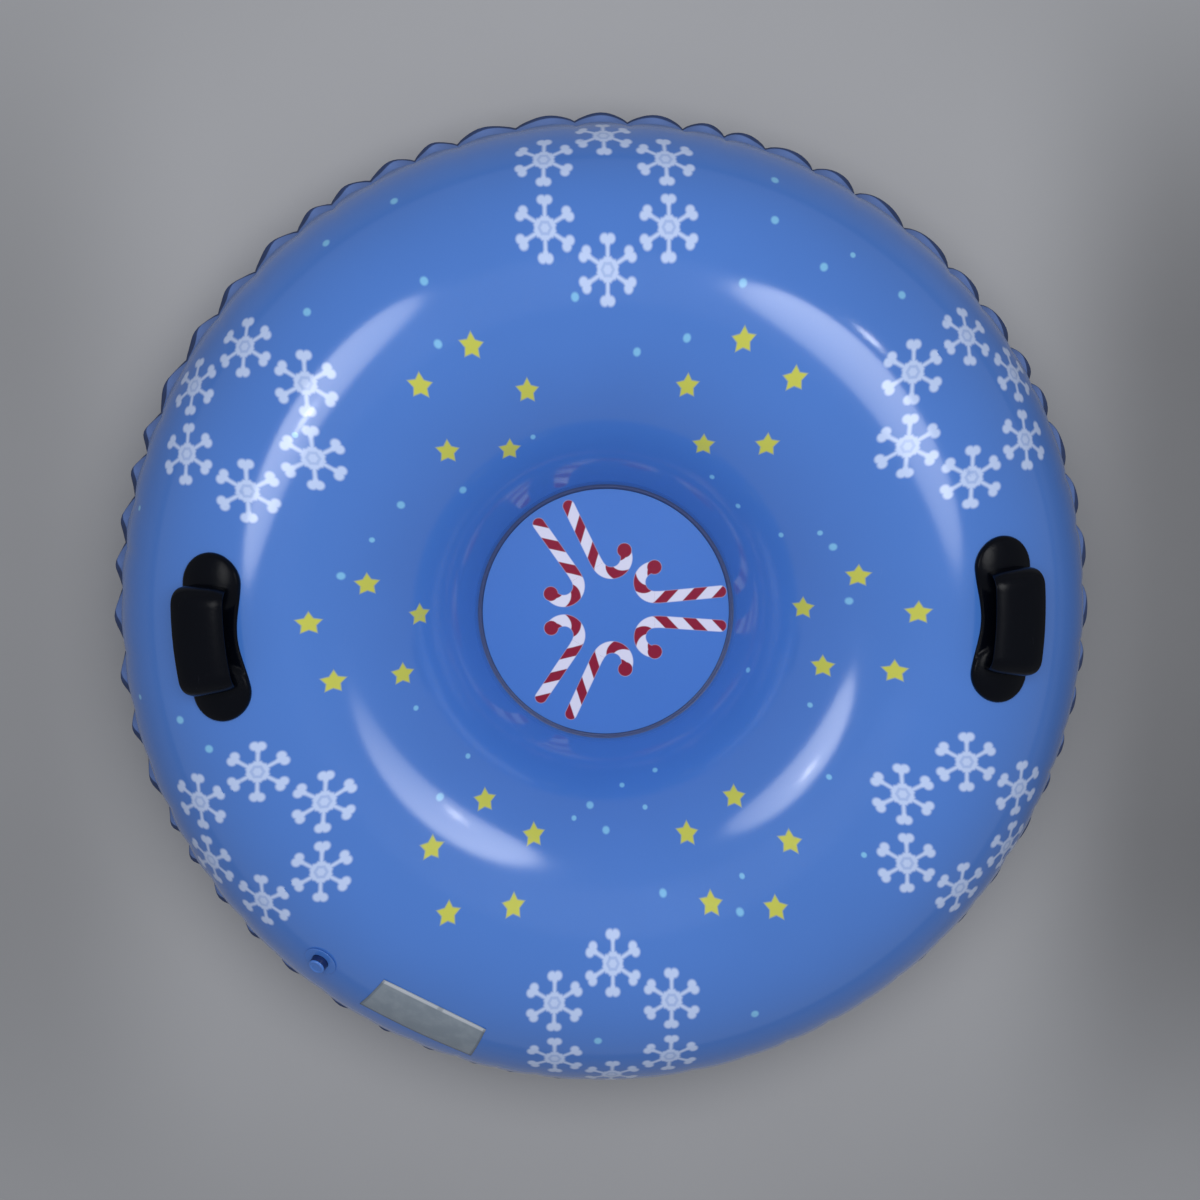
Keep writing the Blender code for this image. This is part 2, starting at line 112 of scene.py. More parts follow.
high = ((RIM_RADIUS**SWELL_POWER + RING_RADIUS**SWELL_POWER) / 2) ** (1 / SWELL_POWER)
low = (RING_RADIUS + high) / 2
for _ in range(HALVINGS):
    CROWN_RADIUS = (low + high) / 2
    if swell_curve(CROWN_RADIUS)[2][-1] > 0:
        high = CROWN_RADIUS
    else:
        low = CROWN_RADIUS
SECTION = swell_curve(CROWN_RADIUS)
SHEET_ARC = SECTION[0][-1]
CROWN_ARC = SECTION[0][np.argmax(SECTION[3] >= 0)]
print("sheet arc", round(SHEET_ARC, 4), "crown arc", round(CROWN_ARC, 4))

# %% Places on the sheet
def section_at(arc):
    """Radius, height above the weld plane and lean at arc lengths."""
    arc = np.asarray(arc, float)
    table_arc, table_radius, table_height, table_lean = SECTION
    radius = np.interp(arc, table_arc, table_radius)
    radius = radius + np.minimum(arc, 0) + np.maximum(arc - SHEET_ARC, 0)
    level = RING_LEVEL + (RIM_LEVEL - RING_LEVEL) * np.clip(arc / SHEET_ARC, 0, 1)
    height = np.interp(arc, table_arc, table_height) + level
    on_body = (arc > 0) & (arc < SHEET_ARC)
    return radius, height, np.where(on_body, np.interp(arc, table_arc, table_lean), 0.0)


CROWN_LEVEL = float(section_at(CROWN_ARC)[1])


def placed(radius, azimuth, height):
    """Points from their radii, azimuths and heights."""
    x, y = radius * np.cos(azimuth), radius * np.sin(azimuth)
    return np.stack(np.broadcast_arrays(x, y, height), -1)


def skin_point(azimuth, arc, lift=0.0):
    """Points on the upper sheet's outer face, raised by lift along its normal."""
    radius, height, lean = section_at(arc)
    out = SHEET_THICKNESS + lift
    radius = radius + out * np.sin(lean)
    return placed(radius, azimuth, WELD_HEIGHT + (height + out * np.cos(lean)))


def drape(x, y, height, azimuth, arc, skew):
    """Lay a flat drawing on the sheet: x round the tube, y down the outer slope."""
    along = x * cos(skew) - y * sin(skew)
    down = x * sin(skew) + y * cos(skew)
    return skin_point(azimuth - along / float(section_at(arc)[0]), arc + down, height)


print("crown height", round(float(skin_point(0.0, CROWN_ARC)[2]), 4))

# %% [markdown]
# ## The camera
# The photograph looks down from a little towards +Y and -X. The camera comes before the
# pieces because the print's places are worked back from the picture through it.

# %% The camera
CAMERA_DISTANCE = 1.754
CAMERA_TILTS = (radians(-2.23), radians(6.85))
FOCAL_PIXELS = 1756.0
MIDDLE_PIXEL = (606.1, 612.1)
PICTURE_PIXELS = 1200
PIXELS_PER_METRE = 1000.0
SENSOR_WIDTH = 36.0

look_at = Vector((0, 0, WELD_HEIGHT))
back = Vector((tan(CAMERA_TILTS[0]), tan(CAMERA_TILTS[1]), 1)).normalized()
up = (Vector((0, 1, 0)) - back * back.y).normalized()
right = up.cross(back)
camera_data = bpy.data.cameras.new("camera")
camera_data.sensor_width = SENSOR_WIDTH
camera_data.lens = FOCAL_PIXELS / PICTURE_PIXELS * SENSOR_WIDTH
camera_data.shift_x = (PICTURE_PIXELS / 2 - MIDDLE_PIXEL[0]) / PICTURE_PIXELS
camera_data.shift_y = (MIDDLE_PIXEL[1] - PICTURE_PIXELS / 2) / PICTURE_PIXELS
camera = in_scene("camera", camera_data)
camera_place = look_at + back * CAMERA_DISTANCE
camera_axes = Matrix((right, up, back)).transposed()
camera.matrix_world = Matrix.Translation(camera_place) @ camera_axes.to_4x4()
bpy.context.scene.camera = camera
print("lens", round(camera_data.lens, 2), "mm")


def pixel_of(points):
    """Where points of the scene fall in the 1200 by 1200 picture."""
    offset = np.asarray(points) - np.array(camera_place)
    depth = -offset @ np.array(back)
    across = MIDDLE_PIXEL[0] + FOCAL_PIXELS * (offset @ np.array(right)) / depth
    down = MIDDLE_PIXEL[1] - FOCAL_PIXELS * (offset @ np.array(up)) / depth
    return np.stack((across, down), -1)


# %% [markdown]
# ## The print's layout
# The sheets were printed flat, then cut, so every motif stands upright in the flat sheet
# and bends with it. Each motif could be placed by eye on the blown-up form, but then
# none would agree with its neighbours. Instead each pixel read from the photograph is
# followed back through the camera to the flat sheet, where six rings of snowflakes and
# six rings of stars share one spacing.

# %% From a pixel back to the flat sheet
NEWTON_STEPS = 25
NUDGE = 1e-5
LARGEST_TURN = 0.05
LARGEST_MOVE = 0.02
FIRST_ARCS = (0.02, 0.42)
ARC_MARGINS = (0.002, 0.004)


def flat_place(azimuth, arc):
    """Place in the flat print, in metres from the sheet's middle."""
    return placed(RING_RADIUS + arc, azimuth, 0.0)[..., :2]


def flat_from_pixel(pixels):
    """Follow pixels back to the upper sheet by Newton steps, then to the flat print."""
    pixels = np.asarray(pixels, float)
    across = pixels[:, 0] - MIDDLE_PIXEL[0]
    rise = MIDDLE_PIXEL[1] - pixels[:, 1]
    azimuth = np.arctan2(rise, across)
    arc = np.clip(np.hypot(across, rise) / PIXELS_PER_METRE - RING_RADIUS, *FIRST_ARCS)
    for _ in range(NEWTON_STEPS):
        here = pixel_of(skin_point(azimuth, arc))
        by_azimuth = (pixel_of(skin_point(azimuth + NUDGE, arc)) - here) / NUDGE
        by_arc = (pixel_of(skin_point(azimuth, arc + NUDGE)) - here) / NUDGE
        short = pixels - here
        scale = by_azimuth[:, 0] * by_arc[:, 1] - by_azimuth[:, 1] * by_arc[:, 0]
        turn = (short[:, 0] * by_arc[:, 1] - short[:, 1] * by_arc[:, 0]) / scale
        move = (by_azimuth[:, 0] * short[:, 1] - by_azimuth[:, 1] * short[:, 0]) / scale
        azimuth = azimuth + np.clip(turn, -LARGEST_TURN, LARGEST_TURN)
        arc = arc + np.clip(move, -LARGEST_MOVE, LARGEST_MOVE)
        arc = np.clip(arc, ARC_MARGINS[0], SHEET_ARC - ARC_MARGINS[1])
    return flat_place(azimuth, arc)


# %% Rings of motifs, from the clearly seen ones
FLAKE_RING_RADIUS = 0.0748
STAR_RING_RADIUS = 0.0602
PRINT_TURN = 0.011
FLAKE_RING_DEGREES = (30, 90, 150, 210, 270, 330)
STAR_RING_DEGREES = (90, 162, 18, 234, 306)
# Each ring's clearly seen flakes: degrees round the ring, pixel across, pixel down
FLAKE_PIXELS = (
    ((210, 546, 227), (330, 669, 225), (270, 608, 270), (150, 543, 160), (30, 665, 160)),
    ((90, 966, 334), (150, 913, 373), (210, 908, 443), (270, 973, 481)),
    ((90, 967, 763), (150, 905, 795), (210, 907, 865), (270, 959, 886)),
    ((90, 613, 965), (150, 555, 1002), (30, 671, 1000)),
    ((90, 258, 772), (30, 322, 804), (330, 320, 874), (270, 265, 898)),
    ((90, 245, 347), (30, 304, 384), (330, 313, 457), (270, 248, 491)),
)
# Each ring's five stars, in the order of STAR_RING_DEGREES
STAR_PIXELS = (
    ((470, 343), (421, 384), (525, 391), (450, 452), (510, 452)),
    ((747, 338), (690, 386), (795, 377), (701, 447), (764, 445)),
    ((367, 587), (309, 625), (420, 614), (333, 681), (403, 671)),
    ((859, 577), (800, 607), (920, 614), (822, 665), (897, 671)),
    ((487, 798), (433, 850), (532, 832), (448, 914), (512, 908)),
    ((732, 795), (687, 831), (790, 844), (713, 904), (776, 909)),
)


def around(radius, degrees):
    """Offsets of a ring's motifs from its middle, in the flat print."""
    return placed(radius, np.radians(degrees) + PRINT_TURN, 0.0)[:, :2]


flakes, stars = [], []
for seen in FLAKE_PIXELS:
    degrees, across, down = zip(*seen)
    places = flat_from_pixel(list(zip(across, down)))
    middle = (places - around(FLAKE_RING_RADIUS, degrees)).mean(0)
    flakes.append(middle + around(FLAKE_RING_RADIUS, FLAKE_RING_DEGREES))
for seen in STAR_PIXELS:
    offsets = around(STAR_RING_RADIUS, STAR_RING_DEGREES)
    middle = (flat_from_pixel(seen) - offsets).mean(0)
    stars.append(middle + offsets)
FLAKES = np.concatenate(flakes)
STARS = np.concatenate(stars)
print(len(FLAKES), "snowflakes", len(STARS), "stars")

# %% Loose dots between the rings
DOT_PIXELS = (
    (326, 243), (394, 201), (424, 281), (307, 312), (775, 180), (775, 220), (824, 267),
    (902, 295), (868, 196), (743, 283), (575, 297), (637, 352), (687, 338), (438, 344),
    (341, 576), (401, 505), (463, 490), (833, 547), (849, 601), (440, 797), (590, 805),
    (606, 830), (663, 893), (740, 912), (180, 720), (209, 749), (598, 1041), (755, 1014),
)
SMALL_DOT_PIXELS = (
    (853, 255), (533, 437), (139, 508), (140, 697), (416, 708), (468, 756), (655, 770),
    (622, 785), (574, 818), (645, 807), (829, 777), (742, 876), (864, 855), (748, 670),
    (810, 705), (781, 535), (820, 533), (738, 506), (712, 477), (372, 540), (295, 435),
)
SMALL_DOT_SIZE = 0.7
DOTS = flat_from_pixel(DOT_PIXELS + SMALL_DOT_PIXELS)
DOT_SIZES = np.array([1.0] * len(DOT_PIXELS) + [SMALL_DOT_SIZE] * len(SMALL_DOT_PIXELS))
print(len(DOTS), "dots")

# %% [markdown]
# ## Making meshes from rows of points
# Sheets, pads and straps are all rows of points with faces between them. A grid with
# modifiers could be bent into each, but a table of points keeps every piece's rule of
# shape in plain sight, and gives clean quads.

# %% A mesh from rows of points
def joined_up(bm, mesh, gap):
    """Join points closer than a gap, turn the faces outwards, and write the mesh."""
    bmesh.ops.remove_doubles(bm, verts=bm.verts, dist=gap)
    bmesh.ops.recalc_face_normals(bm, faces=bm.faces)
    bm.to_mesh(mesh)
    bm.free()


def lofted(name, rows, closed_round=True, capped=False, flip=False, merge=0.0):
    """A smooth mesh through rows of points, each row a closed or an open line."""
    rows = np.asarray(rows, float)
    count, columns = rows.shape[:2]
    across = columns if closed_round else columns - 1
    row, column = np.meshgrid(np.arange(count - 1), np.arange(across), indexing="ij")
    after = (column + 1) % columns
    near, far = row * columns, (row + 1) * columns
    quads = np.stack((near + column, far + column, far + after, near + after), -1)
    faces = quads.reshape(-1, 4)[:, :: -1 if flip else 1].tolist()
    if capped:
        faces.append(list(range(columns))[::-1])
        faces.append(list(range((count - 1) * columns, count * columns)))
    mesh = bpy.data.meshes.new(name)
    mesh.from_pydata(rows.reshape(-1, 3).tolist(), [], faces)
    if merge:
        bm = bmesh.new()
        bm.from_mesh(mesh)
        joined_up(bm, mesh, merge)
    mesh.shade_smooth()
    print(name, len(mesh.vertices), "points", len(mesh.polygons), "faces")
    return in_scene(name, mesh)


def keep(mesh, name, values, kind="FLOAT_VECTOR", domain="POINT"):
    """Store numbers on a mesh's points or corners for its material to read."""
    attribute = mesh.attributes.new(name, kind, domain)
    field = "vector" if kind == "FLOAT_VECTOR" else "value"
    attribute.data.foreach_set(field, np.ascontiguousarray(values, np.float32).ravel())


def smooth_step(value):
    value = np.clip(value, 0, 1)
    return value * value * (3 - 2 * value)


# %% [markdown]
# ## The gathered rim
# A flat disc has too much edge for the shape it is blown into, so the rim weld puckers
# into about sixty scallops. The nearer the rim, the deeper the puckers. The solids carry
# the main puckers, and these rows repeat them with smaller creases between.

# %% Puckers
PUCKER_COUNT = 60
PUCKER_DEPTH = 0.004
PUCKER_WAVE = 0.0025
PUCKER_REACH = 0.060
VALVE_AZIMUTH = radians(-130.8)
PITCH_WAVES = ((8, 0.0030), (22, 0.0009))
DEPTH_WAVE = (14, 0.25)
PUCKER_LEAN = 0.45
LIP_DROOP = 0.0055
LIP_NOTCH = 0.0030
LIP_DROOP_WAVE = 0.4
LIP_BEND = 1.4
PINCH_WIDTH = 0.75
CREASE_DEPTH = 0.0015
CREASE_REACH = 0.110
CREASE_END = 0.004
CREASE_BASE = 1.2
CREASE_SHARPNESS = 1.5
# Waves round the tube, turned per metre of arc, and shifted
CREASE_WAVES = ((9, 40.0, 0.0), (23, 0.0, 1.3))


def pucker_azimuth(share):
    """Azimuth of a share of the way round, with the puckers' uneven pitch."""
    turn = share + 1 / (2 * PUCKER_COUNT)
    for waves, size in PITCH_WAVES:
        turn = turn + size * np.sin(tau * waves * share)
    return VALVE_AZIMUTH + tau * turn


def leaning_phase(share):
    """The phase within the puckers, whose folds lean down the picture, towards -Y."""
    phase = share * PUCKER_COUNT
    lean = PUCKER_LEAN * np.cos(pucker_azimuth(share))
    return phase + lean * np.sin(tau * phase) / tau


def gathered(share, arc, side):
    """Points of the upper (1) or lower (-1) sheet's inner face."""
    radius, height, lean = section_at(arc)
    phase = leaning_phase(share)
    waves, size = DEPTH_WAVE
    unevenness = 1 + size * np.sin(tau * waves * share)
    fade = smooth_step((arc - SHEET_ARC + PUCKER_REACH) / PUCKER_REACH) ** 2
    pinch = 1 - np.abs(np.sin(pi * phase)) ** PINCH_WIDTH
    radius = radius - PUCKER_DEPTH * unevenness * pinch * fade
    wave = -PUCKER_WAVE * unevenness * np.cos(tau * phase) * fade
    long_fade = smooth_step((arc - SHEET_ARC + CREASE_REACH) / CREASE_REACH)
    long_fade = long_fade * (1 - smooth_step((arc - SHEET_ARC) / CREASE_END + 1))
    drift = 0.0
    for waves, twist, shift in CREASE_WAVES:
        drift = drift + np.sin(tau * waves * share + twist * arc + shift)
    crease = -CREASE_DEPTH * (CREASE_BASE + drift / 2) * pinch**CREASE_SHARPNESS * long_fade
    radius = radius + crease * np.sin(lean)
    height = height + crease * np.cos(lean)
    lip = np.clip((arc - SHEET_ARC) / RIM_LIP_WIDTH, 0, 1)
    radius = radius - LIP_NOTCH * lip * pinch
    droop_wave = 1 + LIP_DROOP_WAVE * np.cos(tau * phase)
    wave = wave - LIP_DROOP * lip**LIP_BEND * droop_wave
    if side < 0:
        height = np.minimum(height, CROWN_LEVEL - REST_FLAT_DEPTH)
    return placed(radius, pucker_azimuth(share), WELD_HEIGHT + side * height + wave)


# %% Rows of a sheet
COLUMNS = 12 * PUCKER_COUNT
RING_ARCS = (0.0, 0.0012, 0.0035, 0.008, 0.015, 0.024)
BODY_START = 0.034
BODY_ROWS = 36
RIM_ROWS = 17
LIP_SHARES = (0, 0.25, 0.5, 0.75, 0.9, 1)
RIM_START = SHEET_ARC - PUCKER_REACH
sheet_arcs = np.concatenate(
    (
        (-RING_LIP_WIDTH, -RING_LIP_WIDTH / 2, *RING_ARCS),
        np.linspace(BODY_START, RIM_START, BODY_ROWS)[:-1],
        np.linspace(RIM_START, SHEET_ARC, RIM_ROWS)[:-1],
        SHEET_ARC + RIM_LIP_WIDTH * np.array(LIP_SHARES),
    )
)
shares, arcs = np.meshgrid(np.arange(COLUMNS) / COLUMNS, sheet_arcs)
print(COLUMNS, "columns", len(sheet_arcs), "rows")

# %% [markdown]
# ## The two sheets
# Both sheets are half a millimetre thick. The upper one has the valve's hole. Its faces
# carry, at each corner, the way from the nearest snowflake, star and dot in the flat
# print, which the material turns into ink. An image would have been simpler, but the
# print stays sharp this way, and its bend over the form is exact.

# %% Upper and lower sheet
def welded_sheet(name, side):
    """The upper (1) or lower (-1) sheet, thickened outwards."""
    sheet = lofted(name, gathered(shares, arcs, side), flip=side < 0)
    mesh = sheet.data
    keep(mesh, "arc", arcs, kind="FLOAT")
    phase = tau * leaning_phase(shares)
    gather = np.stack((np.cos(phase), np.sin(phase), np.cos(pucker_azimuth(shares))), -1)
    keep(mesh, "gather", gather)
    thickness = sheet.modifiers.new("thickness", "SOLIDIFY")
    thickness.thickness = SHEET_THICKNESS
    thickness.offset = 1
    return sheet


def way_from_nearest(mesh, flat, centres, sizes):
    """For each face's corners, the way from the nearest motif, as a share of its size."""
    corner_point = np.empty(len(mesh.loops), np.int64)
    mesh.loops.foreach_get("vertex_index", corner_point)
    corners = flat[corner_point].reshape(-1, 4, 2)
    middle = corners.mean(1)
    gaps = ((middle[:, None] - centres[None]) ** 2).sum(2)
    nearest = gaps.argmin(1)
    way = (corners - centres[nearest][:, None]) / sizes[nearest][:, None, None]
    return np.concatenate((way, np.zeros(way.shape[:2] + (1,))), -1)


upper_sheet = welded_sheet("upper_sheet", 1)
lower_sheet = welded_sheet("lower_sheet", -1)
flat = flat_place(pucker_azimuth(shares), arcs).reshape(-1, 2)
MOTIFS = (
    ("snowflake", FLAKES, np.ones(len(FLAKES))),
    ("star", STARS, np.ones(len(STARS))),
    ("dot", DOTS, DOT_SIZES),
)
for kind, centres, sizes in MOTIFS:
    way = way_from_nearest(upper_sheet.data, flat, centres, sizes)
    keep(upper_sheet.data, kind, way, domain="CORNER")

# %% [markdown]
# ## Turned pieces of the valve
# The valve is round, so each piece is a half section turned about the valve's axis. A
# bmesh spin does that. The stem slides through a collar in the sheet, and its plug
# pulls out of the mouth.

# %% The valve's frame and a turned piece
VALVE_ARC = CROWN_ARC + 0.1064
STEM_RADIUS = 0.0082
BORE_RADIUS = 0.0045
STEM_PROUD = 0.0070
STEM_LENGTH = 0.0240
COLLAR_WALL = 0.0012
COLLAR_DEPTH = 0.0080
FLANGE_RADIUS = 0.0165
FLANGE_THICKNESS = 0.0008
PLUG_CAP_THICKNESS = 0.0022
PLUG_PIN_LENGTH = 0.0100
PLUG_LEAD = 0.0012
CAP_DISH_DEPTH = 0.0004
CAP_DISH_SHARES = (0.62, 0.70)
FLAP_RADIUS = 0.0064
FLAP_THICKNESS = 0.0010
RUN_GAP = 0.0003
CORNER_STEPS = 4
TURN_STEPS = 72
ON_AXIS = 1e-6
SHARP_ANGLE = radians(50)

valve_lean = float(section_at(VALVE_ARC)[2])
valve_round = Vector((sin(VALVE_AZIMUTH), -cos(VALVE_AZIMUTH), 0))
valve_outward = Vector((cos(VALVE_AZIMUTH), sin(VALVE_AZIMUTH), 0))
valve_down = valve_outward * cos(valve_lean) - Vector((0, 0, sin(valve_lean)))
valve_axes = Matrix((valve_round, valve_down, valve_round.cross(valve_down)))
VALVE_FRAME = valve_axes.transposed().to_4x4()
VALVE_FRAME.translation = Vector(skin_point(VALVE_AZIMUTH, VALVE_ARC))


def rounded(profile, radius):
    """Round the corners of a closed (radius, height) profile that stand off the axis."""
    out = []
    count = len(profile)
    for i in range(count):
        here = Vector(profile[i])
        before = Vector(profile[i - 1]) - here
        after = Vector(profile[(i + 1) % count]) - here
        if here.x < ON_AXIS:
            out.append(tuple(here))
            continue
        cut = min(radius, before.length * 0.45, after.length * 0.45)
        start, end = here + before.normalized() * cut, here + after.normalized() * cut
        for k in range(CORNER_STEPS + 1):
            t = k / CORNER_STEPS
            out.append(tuple((1 - t) ** 2 * start + 2 * t * (1 - t) * here + t * t * end))
    return out


def turned(name, profile, corner=0.0):
    """A closed half section of (radius, height) points, turned about the valve's axis."""
    if corner:
        profile = rounded(profile, corner)
    bm = bmesh.new()
    points = [bm.verts.new((radius, 0, height)) for radius, height in profile]
    for here, after in zip(points, points[1:] + points[:1]):
        if max(here.co.x, after.co.x) > ON_AXIS:
            bm.edges.new((here, after))
    geometry = bm.verts[:] + bm.edges[:]
    bmesh.ops.spin(bm, geom=geometry, axis=(0, 0, 1), angle=tau, steps=TURN_STEPS)
    mesh = bpy.data.meshes.new(name)
    joined_up(bm, mesh, ON_AXIS)
    mesh.transform(VALVE_FRAME)
    mesh.shade_smooth()
    mesh.set_sharp_from_angle(angle=SHARP_ANGLE)
    print(name, len(mesh.polygons), "faces")
    return in_scene(name, mesh)


# %% Collar, stem, plug and flap
bore = STEM_RADIUS + RUN_GAP
flange_top = WELD_GAP + FLANGE_THICKNESS
valve_collar = turned(
    "valve_collar",
    [
        (bore, flange_top),
        (FLANGE_RADIUS, flange_top),
        (FLANGE_RADIUS, WELD_GAP),
        (bore + COLLAR_WALL, WELD_GAP),
        (bore + COLLAR_WALL, -COLLAR_DEPTH),
        (bore, -COLLAR_DEPTH),
    ],
    corner=0.0004,
)
stem_end = STEM_PROUD - STEM_LENGTH
stem_tube = turned(
    "stem_tube",
    [
        (BORE_RADIUS, STEM_PROUD),
        (STEM_RADIUS, STEM_PROUD),
        (STEM_RADIUS, stem_end),
        (BORE_RADIUS, stem_end),
    ],
    corner=0.0006,
)
seat = STEM_PROUD + RUN_GAP
cap_top = seat + PLUG_CAP_THICKNESS
pin_radius = BORE_RADIUS - RUN_GAP
pin_end = seat - PLUG_PIN_LENGTH
plug_cap = turned(
    "plug_cap",
    [
        (0, cap_top - CAP_DISH_DEPTH),
        (STEM_RADIUS * CAP_DISH_SHARES[0], cap_top - CAP_DISH_DEPTH),
        (STEM_RADIUS * CAP_DISH_SHARES[1], cap_top),
        (STEM_RADIUS - PLUG_LEAD * 0.6, cap_top),
        (STEM_RADIUS, cap_top - PLUG_LEAD),
        (STEM_RADIUS, seat),
        (pin_radius, seat),
        (pin_radius, pin_end + PLUG_LEAD),
        (pin_radius - PLUG_LEAD, pin_end),
        (0, pin_end),
    ],
    corner=0.0006,
)
flap_top = stem_end - RUN_GAP
flap_disc = turned(
    "flap_disc",
    [
        (0, flap_top),
        (FLAP_RADIUS, flap_top),
        (FLAP_RADIUS, flap_top - FLAP_THICKNESS),
        (0, flap_top - FLAP_THICKNESS),
    ],
    corner=0.0003,
)

# %% The hole in the upper sheet
CUTTER_REACH = 0.004
hole_radius = bore + COLLAR_WALL + RUN_GAP
cutter_top = [(0, CUTTER_REACH), (hole_radius, CUTTER_REACH)]
hole_cutter = turned("hole_cutter", cutter_top + [(r, -h) for r, h in cutter_top[::-1]])
hole = upper_sheet.modifiers.new("valve_hole", "BOOLEAN")
hole.operation = "DIFFERENCE"
hole.solver = "EXACT"
hole.object = hole_cutter
depsgraph = bpy.context.evaluated_depsgraph_get()
finished = bpy.data.meshes.new_from_object(upper_sheet.evaluated_get(depsgraph))
upper_sheet.modifiers.clear()
upper_sheet.data = finished
bpy.data.objects.remove(hole_cutter)
print("upper sheet", len(finished.polygons), "faces with its hole")

# %% [markdown]
# ## The floor disc
# The floor is one taut disc, caught in the ring weld between the sheets. It is a fan of
# rings with a rounded edge, and it carries its place in the print in millimetres.

# %% Floor disc
PRINT_MIDDLE = (0.0041, 0.0020)
FLOOR_RINGS = 30
FLOOR_COLUMNS = 240
EDGE_INSETS = (0.0004, 0.0001)
EDGE_SHARE = 0.6
half = FLOOR_THICKNESS / 2
radii = np.linspace(0, RING_RADIUS - EDGE_INSETS[0], FLOOR_RINGS)
radii = np.append(radii, RING_RADIUS - EDGE_INSETS[1])
levels = np.full(radii.shape, half)
levels[-1] = half * EDGE_SHARE
ring_radii = np.concatenate((radii, radii[::-1]))
ring_levels = np.concatenate((levels, -levels[::-1]))
turns = np.arange(FLOOR_COLUMNS) / FLOOR_COLUMNS * tau
floor_rows = placed(ring_radii[:, None], turns, WELD_HEIGHT + ring_levels[:, None])
floor_sheet = lofted("floor_sheet", floor_rows, merge=1e-6)
places = np.empty(3 * len(floor_sheet.data.vertices))
floor_sheet.data.vertices.foreach_get("co", places)
places = (places.reshape(-1, 3) - (*PRINT_MIDDLE, 0)) * 1000
keep(floor_sheet.data, "cane_place", places)

# %% [markdown]
# ## Handles
# Each handle is a dog-bone pad, welded to the sheet, with a strap that stands off it for
# the fingers. Both are moulded soft vinyl. The pad's outline is two round lobes and a
# waist; rings of points run from its middle line out to that outline and roll over its
# edge. The strap is a rounded band, lofted along its bent middle line.

# %% Sizes of the handles
HANDLE_ARC = CROWN_ARC + 0.0409
HANDLE_AZIMUTHS = {"left": radians(180.9), "right": radians(1.2)}
HANDLE_SKEWS = {"left": radians(3.5), "right": radians(-2.0)}
PAD_LOBE_SPAN = 0.100
PAD_LOBE_RADIUS = 0.028
PAD_WAIST_WIDTH = 0.047
PAD_THICKNESS = 0.0025
LOBE_HEIGHT = 0.009
GRIP_LENGTH = 0.096
GRIP_FOOT_SPAN = 0.086
GRIP_HEIGHT = 0.035
GRIP_THICKNESS = 0.007
GRIP_WIDTH = 0.042
GRIP_FOOT_WIDTH = 0.036
GRIP_CORNER_RADIUS = 0.013

# %% Pads
PAD_STEPS = 44
ROLL_SHARES = (1.0, 0.55, 0.25, 0.06, 0.0)
SPREAD_SHARES = (0.0, 0.12, 0.24, 0.36, 0.48, 0.60, 0.70, 0.78, 0.85, 0.90, 0.95)


def pad_outline():
    """The pad's outline and, for each of its points, the middle line's point."""
    lobe = PAD_LOBE_SPAN / 2
    x = np.linspace(lobe, -lobe, PAD_STEPS)
    drawn_in = (PAD_LOBE_RADIUS - PAD_WAIST_WIDTH / 2) * (1 + np.cos(pi * x / lobe)) / 2
    waist = np.stack((x, PAD_LOBE_RADIUS - drawn_in), -1)
    turn = np.linspace(pi / 2, 3 * pi / 2, PAD_STEPS)[1:-1]
    end = placed(PAD_LOBE_RADIUS, turn, 0.0)[:, :2] - (lobe, 0)
    outline = np.concatenate((waist, end, -waist, -end))
    middle = np.stack((np.clip(outline[:, 0], -lobe, lobe), 0 * outline[:, 0]), -1)
    return outline, middle


def handle_pad(side):
    """A pad: a flat dog bone with rolled edges and a dome on each lobe."""
    outline, middle = pad_outline()
    length = np.hypot(*(outline - middle).T)
    rows = []
    shares_out = [share * (1 - PAD_THICKNESS / length) for share in SPREAD_SHARES]
    shares_out += [1 - share * PAD_THICKNESS / length for share in ROLL_SHARES]
    for share in shares_out:
        plan = middle + (outline - middle) * share[:, None]
        rim_gap = (1 - share) * length
        roll = 1 - np.clip(rim_gap / PAD_THICKNESS, 0, 1)
        height = PAD_THICKNESS * np.sqrt(1 - roll**2)
        reach = np.hypot(np.abs(plan[:, 0]) - PAD_LOBE_SPAN / 2, plan[:, 1]) / PAD_LOBE_RADIUS
        dome = np.sqrt(np.clip(1 - reach**2, 0, 1))
        height = height + (LOBE_HEIGHT - PAD_THICKNESS) * dome
        rows.append((plan, WELD_GAP + height))
    rows += [(plan, WELD_GAP + 0 * length) for plan in (outline, middle)]
    set_at = (HANDLE_AZIMUTHS[side], HANDLE_ARC, HANDLE_SKEWS[side])
    points = [drape(*plan.T, height, *set_at) for plan, height in rows]
    return lofted("pad_" + side, points, merge=1e-5)


pads = {side: handle_pad(side) for side in ("left", "right")}

# %% Straps
STRAP_ROWS = 81
BAND_STEPS = 40
BAND_WIDTH_POWER = 0.55
BAND_DEPTH_POWER = 0.75
BAND_EDGE_THINNING = 0.35


def strap_path(share):
    """Middle line of the strap: place along, height and tilt, foot (-1) to foot (1)."""
    top = GRIP_HEIGHT - GRIP_THICKNESS / 2
    foot = WELD_GAP + PAD_THICKNESS + RUN_GAP
    splay = atan2((GRIP_LENGTH - GRIP_FOOT_SPAN) / 2 - GRIP_THICKNESS / 2, top - foot)
    turn = pi / 2 - splay
    bend = GRIP_CORNER_RADIUS
    tangent = bend * tan(turn / 2)
    leg = (top - foot) / cos(splay) - tangent
    level = GRIP_LENGTH / 2 - GRIP_THICKNESS / 2 - tangent
    run = abs(share) * (level + bend * turn + leg)
    sign = copysign(1, share)
    angle = min(max(run - level, 0) / bend, turn)
    down = max(run - level - bend * turn, 0)
    x = min(run, level) + bend * sin(angle) + down * cos(turn)
    drop = bend * (1 - cos(angle)) + down * sin(turn)
    return sign * x, top - drop, sign * angle


